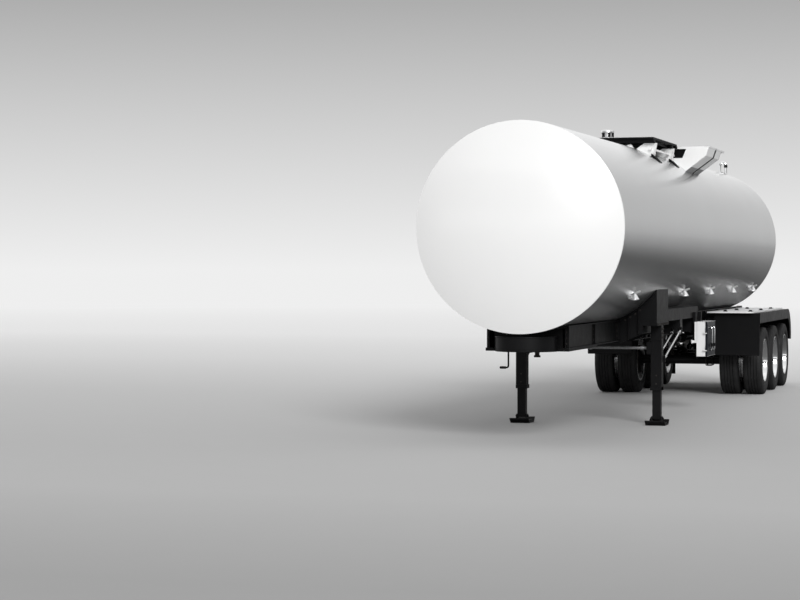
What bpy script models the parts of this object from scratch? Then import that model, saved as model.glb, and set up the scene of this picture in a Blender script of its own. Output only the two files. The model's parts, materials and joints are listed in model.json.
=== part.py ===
"""Tanker semi-trailer with a dished round tank and three dual-wheel axles,
parked on its landing legs.

Metres. +X runs forward to the kingpin end, +Y to the left, +Z up from the ground,
and X = 0 is the middle of the overall length.
"""
import math

import bmesh
import bpy
from mathutils import Matrix

# Clearances between pieces that touch, and between pieces that turn
SEAT_GAP = 0.0003
HUB_GAP = 0.0005
CUT_OVERRUN = 0.05
FLAT_ANGLE = 0.001

# Tank shell
TANK_RADIUS = 1.132
TANK_BOTTOM_Z = 1.194
TANK_AXIS_Z = TANK_BOTTOM_Z + TANK_RADIUS
TANK_TOP_Z = TANK_AXIS_Z + TANK_RADIUS
BARREL_FRONT_X = 6.745
BARREL_REAR_X = -6.021
HEAD_DEPTH = 0.300
HEAD_SKIRT = 0.030
TANK_STEPS = 48
HEAD_RINGS = 4

# Side lamps on the tank: one bell under a small fin at each place along X
SIDE_LAMP_X = (4.90, 1.44, -0.74, -2.93, -5.12)
LAMP_ANGLE = 44.0
LAMP_STAND = 0.074
LAMP_Y = TANK_RADIUS * math.cos(math.radians(LAMP_ANGLE)) + LAMP_STAND
LAMP_Z = TANK_AXIS_Z - TANK_RADIUS * math.sin(math.radians(LAMP_ANGLE))
LAMP_HEIGHT = 0.075
LAMP_RADIUS = 0.052
LAMP_NECK_RADIUS = 0.014
LAMP_FIN_REACH = 0.096
LAMP_FIN_WIDTH = 0.030
LAMP_ARM = 0.030

# Axle places
AXLE_MIDDLE_X = -5.000
AXLE_PITCH = 1.235
AXLE_X = {"front": AXLE_MIDDLE_X + AXLE_PITCH, "middle": AXLE_MIDDLE_X,
          "rear": AXLE_MIDDLE_X - AXLE_PITCH}
FENDER_FRONT_X = AXLE_X["front"] + 0.865
FENDER_REAR_X = AXLE_X["rear"] - 0.565

# Frame under the tank
FRAME_HALF_WIDTH = 0.460
RAIL_WIDTH = 0.080
FRAME_BOTTOM_Z = 1.000
RAIL_HEIGHT = 0.275
FRAME_FRONT_X = 6.400
FRAME_REAR_X = AXLE_X["rear"] - AXLE_PITCH / 2 - 0.1125
CROSSMEMBER = 0.080
FRONT_BAYS = 2
REAR_BAYS = 8

# Upper coupler with the kingpin
COUPLER_PLATE = 0.020
COUPLER_REAR_X = 4.900
NOSE_RADIUS = 0.340
NOSE_HEIGHT = 0.165
NOSE_ARC = 75
NOSE_POINTS = 8
BED_ARC = 90
BED_POINTS = 9
KINGPIN_X = 5.920
KINGPIN_RADIUS = 0.0365
KINGPIN_WAIST = 0.0254
KINGPIN_LENGTH = 0.084
KINGPIN_GROOVE = (0.030, 0.063)

# Landing gear and the bolster that carries it
BOLSTER_FRONT_X = 3.540
BOLSTER_REAR_X = 2.750
BOLSTER_HALF_WIDTH = 0.900
BOLSTER_BOTTOM_Z = 1.207
BOLSTER_TOP_Z = TANK_AXIS_Z - 0.626
BOLSTER_WALL = 0.020
LEG_X = 3.150
LEG_WIDTH = 0.130
LEG_BOTTOM_Z = 0.420
INNER_LEG_WIDTH = 0.100
FOOT_LENGTH = 0.340
FOOT_WIDTH = 0.240
FOOT_PLATE = 0.018
FOOT_LIFT = 0.045
LEG_SHAFT_Z = 0.930
LEG_SHAFT_RADIUS = 0.018
GEARBOX = 0.150
CRANK_REACH = 0.110
CRANK_DROP = 0.260
CRANK_GRIP = 0.110
CRANK_RADIUS = 0.011

# Side rails behind the bolster, with an arm at each place along X
SIDE_RAIL_REAR_X = 0.450
SIDE_RAIL_WIDTH = 0.240
SIDE_RAIL_BOTTOM_Z = 1.247
SIDE_RAIL_HEIGHT = 0.143
SIDE_RAIL_ARM_X = (1.780, 0.700)
ARM_LENGTH = 0.160
ARM_DEPTH = 0.187

# Two chrome rods brace each leg back to the first arm
BRACE_ROD_RADIUS = 0.014
BRACE_SPACING = 0.085
BRACE_SHIFT = 0.025
BRACE_LOW_Z = 0.795
BRACE_HIGH_Z = 1.110
BRACE_LUG = 0.030
BRACE_LUG_HEIGHT = 0.080

# Cabinet on the left side rail
CABINET_FRONT_X = 0.950
CABINET_LENGTH = 0.700
CABINET_OUTER_Y = BOLSTER_HALF_WIDTH + 0.200
CABINET_DEPTH = 0.137
CABINET_PAD = 0.026
CABINET_PAD_Z = (0.870, 1.160)
CABINET_BOTTOM_Z = 0.745
CABINET_HEIGHT = 0.452
CABINET_WALL = 0.012
DOOR_THICKNESS = 0.018
DOOR_GAP = 0.005
DOOR_PIN_RADIUS = 0.009
DOOR_KNUCKLE = 0.060
HANDLE_HEIGHT = 0.290
HANDLE_RADIUS = 0.011
HANDLE_STAND = 0.034
HANDLE_SHARES = (0.35, 0.65)
KNUCKLE_SHARES = (0.25, 0.75)
STRAP_LENGTH = 0.060

# Running gear
TYRE_RADIUS = 0.505
TYRE_WIDTH = 0.290
BEAD_WIDTH = 0.230
TREAD_WIDTH = 0.210
SHOULDER_DROP = 0.016
DUAL_GAP = 0.060
DUAL_CENTRE_Y = 0.945
RIM_RADIUS = 0.300
RIM_LIP_RADIUS = 0.327
RIM_LIP = 0.011
RIM_WALL = 0.012
RIM_WELL_RADIUS = 0.262
DISC_DEPTH = 0.150
DISC_THICKNESS = 0.018
HUB_RADIUS = 0.105
HUB_CAP_RADIUS = 0.070
HUB_CAP_RISE = 0.115
DRUM_RADIUS = 0.215
AXLE_RADIUS = 0.064
STUB_RADIUS = 0.050
BACKING_PLATE_RADIUS = 0.190
BACKING_PLATE = 0.012
BACKING_GAP = 0.006
WHEEL_STEPS = 24
AXLE_STEPS = 12
BRAKE_RADIUS = 0.080
BRAKE_LENGTH = 0.190
BRAKE_Y = 0.240
BRAKE_SETBACK = 0.130
BRAKE_RISE = 0.085
BRAKE_BRACKET = 0.050

# Leaf springs and their hangers
LEAF_THICKNESS = 0.050
LEAF_WIDTH = 0.080
LEAF_SAG = 0.100
LEAF_POINTS = 6
HANGER_WIDTH = 0.100
HANGER_TOP = 0.200
HANGER_FOOT = 0.120
SPRING_SEAT_LENGTH = 0.160
SPRING_SEAT_HEIGHT = 0.026

# Fenders and their deck plates
FENDER_INNER_Y = 0.615
FENDER_OUTER_Y = 1.290
FENDER_TOP_Z = 1.235
FENDER_SHEET = 0.015
FENDER_BEAD = 0.003
FENDER_FRONT_LOW_Z = 0.620
FENDER_REAR_LOW_Z = 0.740
FENDER_SKIRT = 0.145
FENDER_CORNER = 0.420
CORNER_POINTS = 8
FENDER_ARM_X = (FENDER_FRONT_X - 0.200, AXLE_MIDDLE_X + AXLE_PITCH / 2,
                AXLE_MIDDLE_X - AXLE_PITCH / 2, FENDER_REAR_X + FENDER_CORNER + 0.060)
DECK_FRONT_X = FENDER_FRONT_X + 0.100
DECK_REAR_X = FENDER_REAR_X + FENDER_CORNER + 0.020
DECK_INNER_Y = FENDER_INNER_Y - 0.090
DECK_OUTER_Y = 1.200
DECK_PLATE = 0.020
FLAP_OUTER_Y = 1.140
FLAP_THICKNESS = 0.012
FLAP_LOW_Z = 0.140
FLAP_TOP_Z = FENDER_TOP_Z - FENDER_CORNER - 0.010

# Walkway platform on the crown
PLATFORM_FRONT_X = 2.300
PLATFORM_REAR_X = 0.520
PLATFORM_HALF_WIDTH = 0.630
PLATFORM_TOP_Z = TANK_TOP_Z + 0.072
PLATFORM_PLATE = 0.030
PLATFORM_PAD_HALF_WIDTH = 0.150
BRACKET_X = (2.200, 0.900)
BRACKET_THICKNESS = 0.060
BRACKET_TOP_Y = (0.500, 0.662)
BRACKET_TOP_Z = PLATFORM_TOP_Z - 0.075
BRACKET_FOOT_Y = 0.630

# Spill box round the manhole
SPILL_FRONT_X = 0.500
SPILL_REAR_X = -0.600
SPILL_WALL = 0.020
SPILL_TOP = (TANK_RADIUS - 0.082, TANK_TOP_Z + 0.042)
SPILL_KNEE = (TANK_RADIUS - 0.122, TANK_TOP_Z - 0.078)
SPILL_FOOT = (TANK_RADIUS - 0.392, TANK_TOP_Z - 0.278)
SPILL_RIM = 0.020
SPILL_RIM_REAR_X = -0.900
SPILL_RIM_INNER_Y = SPILL_TOP[0] - 0.090
WINDOW_INNER_Y = 0.560
WINDOW_OUTER_Y = (0.700, 0.750)
WINDOW_Z = (TANK_TOP_Z - 0.108, TANK_TOP_Z + 0.012)

# Manhole
MANHOLE_X = -0.050
NECK_RADIUS = 0.230
NECK_WALL = 0.020
NECK_TOP_Z = TANK_TOP_Z + 0.092
LID_OVERHANG = 0.020
LID_THICKNESS = 0.020
LID_DOME = 0.030
LID_STEPS = 20
LID_PIN_OFFSET = 0.300
LID_PIN_RADIUS = 0.010
LID_ARM_WIDTH = 0.050
PIN_GAP = 0.001
PIN_STEPS = 10
EAR_THICKNESS = 0.020
EAR_GAP = 0.005

# Fittings on the crown
VENT_X = 2.030
VENT_RADIUS = 0.060
VENT_TOP_Z = PLATFORM_TOP_Z + 0.112
VENT_CAP_RADIUS = 0.085
VENT_FOOT_SHARE = 0.15
VENT_NECK_SHARE = 0.60
VENT_BRIM_SHARE = 0.85
VENT_CROWN_SHARE = 0.80
VENT_STEPS = 20
BREATHER_X = -5.700
BREATHER_Y = (0.280, 0.374)
BREATHER_RADIUS = 0.022
BREATHER_TOP_Z = TANK_TOP_Z + 0.125
BREATHER_END_Z = TANK_TOP_Z - 0.025
BREATHER_POINTS = 7

# Side ladder on the right
LADDER_X = 1.450
LADDER_WIDTH = 0.400
LADDER_Y = TANK_RADIUS + 0.083
LADDER_FOOT_Z = 0.800
LADDER_BEND_Z = TANK_AXIS_Z + 0.174
LADDER_TUBE = 0.018
RUNG_RADIUS = 0.013
RUNG_PITCH = 0.300
LADDER_CLEAR = 0.085
LADDER_TOP_ANGLE = 57.0
LADDER_BEND_POINTS = 7
STAY_ANGLES = (-35, 20, 50)
BAR_STEPS = 8

# Rear end
BUMPER_DEPTH = 0.080
BUMPER_HALF_WIDTH = 1.120
BUMPER_Z = (0.460, 0.580)
BUMPER_POST_WIDTH = 0.080
LAMP_PANEL_HALF_WIDTH = 0.560
LAMP_PANEL_Z = (1.030, 1.190)
LAMP_PANEL_THICKNESS = 0.020
TAIL_LAMP_Y = (0.480, 0.340, 0.200)
TAIL_LAMP_RADIUS = 0.050
LENS_STEPS = 16

# Discharge line
OUTLET_BAY = 3
SUMP_RADIUS = 0.160
SUMP_HEIGHT = 0.120
VALVE_RADIUS = 0.085
PIPE_RADIUS = 0.052
PIPE_Z = 0.840
PIPE_BEND = 0.150
PIPE_BEND_POINTS = 6
SUMP_STEPS = 20
FLANGE_RADIUS = 0.095
FLANGE_THICKNESS = 0.030
PIPE_END_X = FRAME_REAR_X + 0.015

# Finishes: base colour, roughness, metallic
FINISHES = {
    "tank_aluminium": ((0.780, 0.785, 0.790), 0.28, 1.0),
    "chassis_black": ((0.012, 0.012, 0.013), 0.45, 0.0),
    "fender_black": ((0.015, 0.015, 0.016), 0.35, 0.0),
    "door_black": ((0.020, 0.020, 0.021), 0.30, 0.0),
    "bright_plate": ((0.800, 0.805, 0.810), 0.30, 1.0),
    "white_paint": ((0.800, 0.800, 0.795), 0.40, 0.0),
    "chrome": ((0.820, 0.825, 0.830), 0.10, 1.0),
    "tyre_rubber": ((0.020, 0.020, 0.020), 0.80, 0.0),
    "flap_rubber": ((0.014, 0.014, 0.014), 0.85, 0.0),
    "galvanised": ((0.450, 0.455, 0.460), 0.50, 1.0),
    "grey_paint": ((0.520, 0.525, 0.530), 0.45, 0.0),
}

SIDES = {"left": 1.0, "right": -1.0}
# Rotations that turn a local axis to the world axis that the piece needs
TURN_TO_X = Matrix(((0, 0, 1), (0, 1, 0), (-1, 0, 0))).to_4x4()
TURN_TO_MINUS_X = Matrix(((0, 0, -1), (0, 1, 0), (1, 0, 0))).to_4x4()
TURN_TO_Y = Matrix(((1, 0, 0), (0, 0, 1), (0, -1, 0))).to_4x4()
TURN_TO_MINUS_Y = Matrix(((1, 0, 0), (0, 0, -1), (0, 1, 0))).to_4x4()
PLANE_XY = Matrix.Identity(4)
PLANE_XZ = Matrix(((1, 0, 0), (0, 0, -1), (0, 1, 0))).to_4x4()
PLANE_YZ = Matrix(((0, 0, 1), (1, 0, 0), (0, 1, 0))).to_4x4()


def clear_scene():
    for obj in list(bpy.data.objects):
        bpy.data.objects.remove(obj, do_unlink=True)


def make_collection(name):
    collection = bpy.data.collections.new(name)
    bpy.context.scene.collection.children.link(collection)
    return collection


def make_material(name):
    colour, roughness, metallic = FINISHES[name]
    material = bpy.data.materials.get(name)
    if material is None:
        material = bpy.data.materials.new(name)
        material.use_nodes = True
        shader = material.node_tree.nodes["Principled BSDF"]
        shader.inputs["Base Color"].default_value = (*colour, 1.0)
        shader.inputs["Roughness"].default_value = roughness
        shader.inputs["Metallic"].default_value = metallic
        material.diffuse_color = (*colour, 1.0)
    return material


def place(name, mesh, matrix, finish):
    obj = bpy.data.objects.new(name, mesh)
    PARTS.objects.link(obj)
    obj.matrix_world = matrix
    mesh.materials.clear()
    mesh.materials.append(make_material(finish))
    return obj


def mesh_from(bm, name):
    mesh = bpy.data.meshes.new(name)
    bm.to_mesh(mesh)
    bm.free()
    return mesh


def box(name, low, high, finish="chassis_black"):
    """An upright box between two corners, with its origin at its centre."""
    size = [high[i] - low[i] for i in range(3)]
    centre = [(high[i] + low[i]) / 2 for i in range(3)]
    bm = bmesh.new()
    bmesh.ops.create_cube(bm, size=1.0, matrix=Matrix.Diagonal((*size, 1.0)))
    return place(name, mesh_from(bm, name), Matrix.Translation(centre), finish)


def rod(name, start, end, radius, finish="chassis_black", steps=12, end_radius=None):
    """A straight round bar, or a cone, from one point to another."""
    axis = Matrix.Translation([e - s for s, e in zip(start, end)]).translation
    bm = bmesh.new()
    bmesh.ops.create_cone(bm, cap_ends=True, segments=steps, radius1=radius,
                          radius2=radius if end_radius is None else end_radius, depth=axis.length)
    middle = Matrix.Translation([(s + e) / 2 for s, e in zip(start, end)])
    turn = axis.to_track_quat("Z", "Y").to_matrix().to_4x4()
    return place(name, mesh_from(bm, name), middle @ turn, finish)


def plate(name, outline, thickness, matrix, finish="chassis_black"):
    """A flat outline, centred on its plane, made a mesh so that it can be cut or joined."""
    curve = bpy.data.curves.new(name, "CURVE")
    curve.dimensions = "2D"
    curve.fill_mode = "BOTH"
    curve.extrude = thickness / 2
    spline = curve.splines.new("POLY")
    spline.points.add(len(outline) - 1)
    for point, (u, v) in zip(spline.points, outline):
        point.co = (u, v, 0.0, 1.0)
    spline.use_cyclic_u = True
    return solid_from_curve(name, curve, matrix, finish)


def tube(name, points, radius, finish="chassis_black", resolution=1):
    """A round tube along points, with closed ends."""
    curve = bpy.data.curves.new(name, "CURVE")
    curve.dimensions = "3D"
    curve.bevel_depth = radius
    curve.bevel_resolution = resolution
    curve.use_fill_caps = True
    spline = curve.splines.new("POLY")
    spline.points.add(len(points) - 1)
    for point, place_at in zip(spline.points, points):
        point.co = (*place_at, 1.0)
    return solid_from_curve(name, curve, Matrix.Identity(4), finish)


def solid_from_curve(name, curve, matrix, finish):
    guide = bpy.data.objects.new(name + "_curve", curve)
    PARTS.objects.link(guide)
    guide.matrix_world = matrix
    bpy.context.view_layer.update()
    evaluated = guide.evaluated_get(bpy.context.evaluated_depsgraph_get())
    mesh = bpy.data.meshes.new_from_object(evaluated)
    bm = bmesh.new()
    bm.from_mesh(mesh)
    bmesh.ops.remove_doubles(bm, verts=bm.verts, dist=0.0001)
    bmesh.ops.dissolve_limit(bm, angle_limit=FLAT_ANGLE, verts=bm.verts, edges=bm.edges)
    bm.to_mesh(mesh)
    bm.free()
    bpy.data.objects.remove(guide, do_unlink=True)
    return place(name, mesh, matrix, finish)


def turned(name, profile, matrix, finish="chassis_black", steps=WHEEL_STEPS, closed=False):
    """A turned shape about local Z. The profile of (radius, height) runs down its outer side."""
    bm = bmesh.new()
    ring = [bm.verts.new((radius, 0.0, height)) for radius, height in profile]
    for first, second in zip(ring, ring[1:]):
        bm.edges.new((first, second))
    if closed:
        bm.edges.new((ring[-1], ring[0]))
    obj = place(name, mesh_from(bm, name), matrix, finish)
    screw = obj.modifiers.new("turn", "SCREW")
    screw.angle = math.tau
    screw.steps = steps
    screw.render_steps = steps
    screw.use_merge_vertices = True
    screw.merge_threshold = 0.0001
    screw.use_smooth_shade = True
    return obj


def ring(name, matrix, outer, inner, length, finish):
    """A turned knuckle with a bore, centred on its place."""
    profile = [(outer, length / 2), (outer, -length / 2), (inner, -length / 2), (inner, length / 2)]
    return turned(name, profile, matrix, finish, PIN_STEPS, closed=True)


def combine(base, operand, operation="UNION"):
    """Adds or subtracts one shape; the operand then only guides the base."""
    modifier = base.modifiers.new(operation.lower(), "BOOLEAN")
    modifier.operation = operation
    modifier.solver = "EXACT"
    modifier.object = operand
    if operand.name in PARTS.objects:
        PARTS.objects.unlink(operand)
        CUTTERS.objects.link(operand)
    operand.hide_render = True
    operand.display_type = "WIRE"
    return base


def join(base, *pieces):
    for piece in pieces:
        combine(base, piece)
    return base


def mirrored(points, side):
    return [(x, side * y, z) for x, y, z in points]


def side_box(name, low, high, side, finish="chassis_black"):
    """A box given by its left-hand place, put on either side."""
    inner, outer = sorted((side * low[1], side * high[1]))
    return box(name, (low[0], inner, low[2]), (high[0], outer, high[2]), finish)


def arc(centre, radius, start, end, count):
    """Points on a circle from one angle in degrees to another."""
    angles = [math.radians(start + (end - start) * i / (count - 1)) for i in range(count)]
    return [(centre[0] + radius * math.cos(a), centre[1] + radius * math.sin(a)) for a in angles]


def tank_surface_z(y, above=False):
    rise = math.sqrt(TANK_RADIUS ** 2 - y ** 2)
    return TANK_AXIS_Z + (rise if above else -rise)


def tank_frame(x, turn=TURN_TO_X):
    return Matrix.Translation((x, 0.0, TANK_AXIS_Z)) @ turn


def make_tank_cutter():
    """The space of the tank, a seat gap larger, that its supports are cut back from."""
    radius = TANK_RADIUS + SEAT_GAP
    length = BARREL_FRONT_X - BARREL_REAR_X + 2 * (HEAD_SKIRT + CUT_OVERRUN)
    middle = (BARREL_FRONT_X + BARREL_REAR_X) / 2
    profile = [(0.0, length / 2), (radius, length / 2), (radius, -length / 2), (0.0, -length / 2)]
    return turned("tank_space", profile, tank_frame(middle), steps=TANK_STEPS)


def seat_on_tank(obj):
    return combine(obj, TANK_SPACE, "DIFFERENCE")


def make_tank():
    length = BARREL_FRONT_X - BARREL_REAR_X
    middle = (BARREL_FRONT_X + BARREL_REAR_X) / 2
    profile = [(0.0, length / 2), (TANK_RADIUS, length / 2),
               (TANK_RADIUS, -length / 2), (0.0, -length / 2)]
    barrel = turned("tank_barrel", profile, tank_frame(middle), "tank_aluminium", TANK_STEPS)
    for index, x in enumerate(SIDE_LAMP_X):
        for name, side in SIDES.items():
            join(barrel, *side_lamp(f"lamp_{index}_{name}", x, side))
    head = head_profile()
    front = BARREL_FRONT_X + SEAT_GAP
    rear = BARREL_REAR_X - SEAT_GAP
    turned("tank_front_head", head, tank_frame(front), "white_paint", TANK_STEPS)
    turned("tank_rear_head", head, tank_frame(rear, TURN_TO_MINUS_X), "white_paint", TANK_STEPS)


def head_profile():
    """A dished head: a short skirt and a crown of one radius, from apex to back."""
    dish = HEAD_DEPTH - HEAD_SKIRT
    crown_radius = (TANK_RADIUS ** 2 + dish ** 2) / (2 * dish)
    half_angle = math.asin(TANK_RADIUS / crown_radius)
    profile = []
    for i in range(HEAD_RINGS + 1):
        angle = half_angle * i / HEAD_RINGS
        drop = crown_radius * (1 - math.cos(angle))
        profile.append((crown_radius * math.sin(angle), HEAD_DEPTH - drop))
    return profile + [(TANK_RADIUS, 0.0), (0.0, 0.0)]


def side_lamp(name, x, side):
    """A bell that opens down, its fin, and the arm that holds both on the tank."""
    top = LAMP_Z + LAMP_HEIGHT
    bell = rod(name + "_bell", (x, side * LAMP_Y, LAMP_Z), (x, side * LAMP_Y, top),
               LAMP_RADIUS, "chrome", end_radius=LAMP_NECK_RADIUS)
    fin_root = LAMP_Y - LAMP_NECK_RADIUS
    fin = [(side * fin_root, top - LAMP_NECK_RADIUS), (side * LAMP_Y, top - LAMP_NECK_RADIUS),
           (side * (LAMP_Y + LAMP_FIN_REACH), top + 2 * LAMP_NECK_RADIUS),
           (side * LAMP_Y, top + LAMP_NECK_RADIUS), (side * fin_root, top + LAMP_NECK_RADIUS)]
    wing = plate(name + "_fin", fin, LAMP_FIN_WIDTH,
                 Matrix.Translation((x, 0.0, 0.0)) @ PLANE_YZ, "chrome")
    arm_low = LAMP_Z + LAMP_ARM / 2
    arm_root = math.sqrt(TANK_RADIUS ** 2 - (TANK_AXIS_Z - arm_low) ** 2) - LAMP_ARM
    arm = side_box(name + "_arm", (x - LAMP_ARM / 2, arm_root, arm_low),
                   (x + LAMP_ARM / 2, LAMP_Y, arm_low + LAMP_ARM), side, "chrome")
    return bell, wing, arm


def make_front_frame():
    """Two rails and their end members between the kingpin end and the bolster."""
    low = (BOLSTER_FRONT_X + SEAT_GAP, -FRAME_HALF_WIDTH, FRAME_BOTTOM_Z + COUPLER_PLATE + SEAT_GAP)
    high = (FRAME_FRONT_X, FRAME_HALF_WIDTH, FRAME_BOTTOM_Z + RAIL_HEIGHT)
    frame = box("front_frame", low, high)
    inner = FRAME_HALF_WIDTH - RAIL_WIDTH
    pitch = (high[0] - low[0] - CROSSMEMBER) / FRONT_BAYS
    for bay in range(FRONT_BAYS):
        start = low[0] + bay * pitch + CROSSMEMBER
        cut = box(f"front_bay_{bay}", (start, -inner, low[2] - CUT_OVERRUN),
                  (start + pitch - CROSSMEMBER, inner, high[2] + CUT_OVERRUN))
        combine(frame, cut, "DIFFERENCE")
    seat_on_tank(frame)


def make_upper_coupler():
    """The bed plate, its round nose box and the kingpin."""
    side = FRAME_HALF_WIDTH
    outline = [(COUPLER_REAR_X, -side), (FRAME_FRONT_X, -side)]
    outline += arc((FRAME_FRONT_X, 0.0), NOSE_RADIUS, -BED_ARC, BED_ARC, BED_POINTS)
    outline += [(FRAME_FRONT_X, side), (COUPLER_REAR_X, side)]
    mid = FRAME_BOTTOM_Z + COUPLER_PLATE / 2
    coupler = plate("upper_coupler", outline, COUPLER_PLATE, Matrix.Translation((0, 0, mid)))
    front = FRAME_FRONT_X + SEAT_GAP
    curve = arc((front, 0.0), NOSE_RADIUS, -NOSE_ARC, NOSE_ARC, NOSE_POINTS)
    nose = [(front, -NOSE_RADIUS)] + curve + [(front, NOSE_RADIUS)]
    nose_mid = FRAME_BOTTOM_Z + NOSE_HEIGHT / 2
    box_nose = plate("nose_box", nose, NOSE_HEIGHT, Matrix.Translation((0, 0, nose_mid)))
    upper, lower = KINGPIN_GROOVE
    profile = [(0.0, COUPLER_PLATE / 2), (KINGPIN_RADIUS, COUPLER_PLATE / 2),
               (KINGPIN_RADIUS, -upper), (KINGPIN_WAIST, -upper),
               (KINGPIN_WAIST, -lower), (KINGPIN_RADIUS, -lower),
               (KINGPIN_RADIUS, -KINGPIN_LENGTH), (0.0, -KINGPIN_LENGTH)]
    pin = turned("kingpin", profile, Matrix.Translation((KINGPIN_X, 0.0, FRAME_BOTTOM_Z)))
    join(coupler, box_nose, pin)


def make_bolster():
    """The saddle between the two frames: a boxed cradle that is open below."""
    half = [(FRAME_HALF_WIDTH, FRAME_BOTTOM_Z), (BOLSTER_HALF_WIDTH, BOLSTER_BOTTOM_Z - BOLSTER_WALL),
            (BOLSTER_HALF_WIDTH, BOLSTER_TOP_Z)]
    outline = half + [(-y, z) for y, z in reversed(half)]
    length = BOLSTER_FRONT_X - BOLSTER_REAR_X
    middle = Matrix.Translation(((BOLSTER_FRONT_X + BOLSTER_REAR_X) / 2, 0.0, 0.0))
    bolster = plate("landing_gear_bolster", outline, length, middle @ PLANE_YZ)
    seat_y = BOLSTER_HALF_WIDTH - LEG_WIDTH - 2 * BOLSTER_WALL
    for name, side in SIDES.items():
        notch = side_box("leg_notch_" + name,
                         (BOLSTER_REAR_X - CUT_OVERRUN, seat_y, FRAME_BOTTOM_Z),
                         (BOLSTER_FRONT_X + CUT_OVERRUN, BOLSTER_HALF_WIDTH + CUT_OVERRUN, BOLSTER_BOTTOM_Z),
                         side)
        combine(bolster, notch, "DIFFERENCE")
    pocket_y = seat_y - BOLSTER_WALL
    pocket = box("bolster_pocket", (BOLSTER_REAR_X + BOLSTER_WALL, -pocket_y, FRAME_BOTTOM_Z - CUT_OVERRUN),
                 (BOLSTER_FRONT_X - BOLSTER_WALL, pocket_y, BOLSTER_TOP_Z + CUT_OVERRUN))
    combine(bolster, pocket, "DIFFERENCE")
    seat_on_tank(bolster)


def leg_centre_y():
    return BOLSTER_HALF_WIDTH - LEG_WIDTH / 2


def make_landing_leg(name, side):
    half = LEG_WIDTH / 2
    centre = leg_centre_y()
    housing = side_box("leg_housing_" + name, (LEG_X - half, centre - half, LEG_BOTTOM_Z),
                       (LEG_X + half, centre + half, BOLSTER_BOTTOM_Z - SEAT_GAP), side)
    gearbox = side_box("gearbox_" + name,
                       (LEG_X - GEARBOX / 2, centre - half - GEARBOX / 3, LEG_SHAFT_Z - GEARBOX / 2),
                       (LEG_X + GEARBOX / 2, centre, LEG_SHAFT_Z + GEARBOX / 2), side)
    join(housing, gearbox)
    foot = [(-FOOT_LENGTH / 2, FOOT_LIFT), (-FOOT_LENGTH / 3, 0.0), (FOOT_LENGTH / 3, 0.0),
            (FOOT_LENGTH / 2, FOOT_LIFT), (FOOT_LENGTH / 2, FOOT_LIFT + FOOT_PLATE),
            (FOOT_LENGTH / 3, FOOT_PLATE), (-FOOT_LENGTH / 3, FOOT_PLATE),
            (-FOOT_LENGTH / 2, FOOT_LIFT + FOOT_PLATE)]
    at_leg = Matrix.Translation((LEG_X, side * centre, 0.0))
    shoe = plate("leg_foot_" + name, foot, FOOT_WIDTH, at_leg @ PLANE_XZ)
    inner = INNER_LEG_WIDTH / 2
    leg = side_box("inner_leg_" + name, (LEG_X - inner, centre - inner, FOOT_PLATE / 2),
                   (LEG_X + inner, centre + inner, LEG_BOTTOM_Z - SEAT_GAP), side)
    join(shoe, leg)
    return housing


def make_landing_gear():
    housings = {name: make_landing_leg(name, side) for name, side in SIDES.items()}
    reach = leg_centre_y() - LEG_WIDTH / 2 - GEARBOX / 3 - SEAT_GAP
    rod("landing_gear_shaft", (LEG_X, -reach, LEG_SHAFT_Z), (LEG_X, reach, LEG_SHAFT_Z),
        LEG_SHAFT_RADIUS, "galvanised")
    outer = leg_centre_y() + LEG_WIDTH / 2
    route = [(LEG_X, outer - CUT_OVERRUN, LEG_SHAFT_Z), (LEG_X, outer + CRANK_REACH, LEG_SHAFT_Z),
             (LEG_X, outer + CRANK_REACH, LEG_SHAFT_Z - CRANK_DROP),
             (LEG_X, outer + CRANK_REACH + CRANK_GRIP, LEG_SHAFT_Z - CRANK_DROP)]
    crank = tube("leg_crank", mirrored(route, SIDES["right"]), CRANK_RADIUS)
    join(housings["right"], crank)


def make_side_rail(name, side):
    """The box rail behind the bolster and the arms that carry it on the frame."""
    inner_y = BOLSTER_HALF_WIDTH - SIDE_RAIL_WIDTH
    top = SIDE_RAIL_BOTTOM_Z + SIDE_RAIL_HEIGHT
    rail = side_box("side_rail_" + name, (SIDE_RAIL_REAR_X, inner_y, SIDE_RAIL_BOTTOM_Z),
                    (BOLSTER_REAR_X - SEAT_GAP, BOLSTER_HALF_WIDTH, top), side)
    arm_bottom = SIDE_RAIL_BOTTOM_Z - ARM_DEPTH
    for index, x in enumerate(SIDE_RAIL_ARM_X):
        arm = side_box(f"rail_arm_{index}_{name}",
                       (x - ARM_LENGTH / 2, FRAME_HALF_WIDTH + SEAT_GAP, arm_bottom),
                       (x + ARM_LENGTH / 2, BOLSTER_HALF_WIDTH, SIDE_RAIL_BOTTOM_Z + ARM_DEPTH / 8), side)
        join(rail, arm)
    seat_on_tank(rail)


def make_leg_brace(name, side):
    """Two parallel rods between a lug on the leg and a lug on the side rail's first arm."""
    front = LEG_X - LEG_WIDTH / 2 - SEAT_GAP
    rear = SIDE_RAIL_ARM_X[0] + ARM_LENGTH / 2 + SEAT_GAP
    centre = leg_centre_y() + BRACE_SHIFT
    half = BRACE_SPACING / 2 + 1.5 * BRACE_ROD_RADIUS
    rise = BRACE_LUG_HEIGHT / 2
    brace = side_box("leg_brace_" + name, (front - BRACE_LUG, centre - half, BRACE_LOW_Z - rise),
                     (front, centre + half, BRACE_LOW_Z + rise), side, "chrome")
    back_lug = side_box("brace_lug_" + name, (rear, centre - half, BRACE_HIGH_Z - rise),
                        (rear + BRACE_LUG, centre + half, BRACE_HIGH_Z + rise), side, "chrome")
    join(brace, back_lug)
    for index, offset in enumerate((-BRACE_SPACING / 2, BRACE_SPACING / 2)):
        y = side * (centre + offset)
        bar = rod(f"brace_rod_{index}_{name}", (front - BRACE_LUG / 2, y, BRACE_LOW_Z),
                  (rear + BRACE_LUG / 2, y, BRACE_HIGH_Z), BRACE_ROD_RADIUS, "chrome", BAR_STEPS)
        join(brace, bar)


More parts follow.
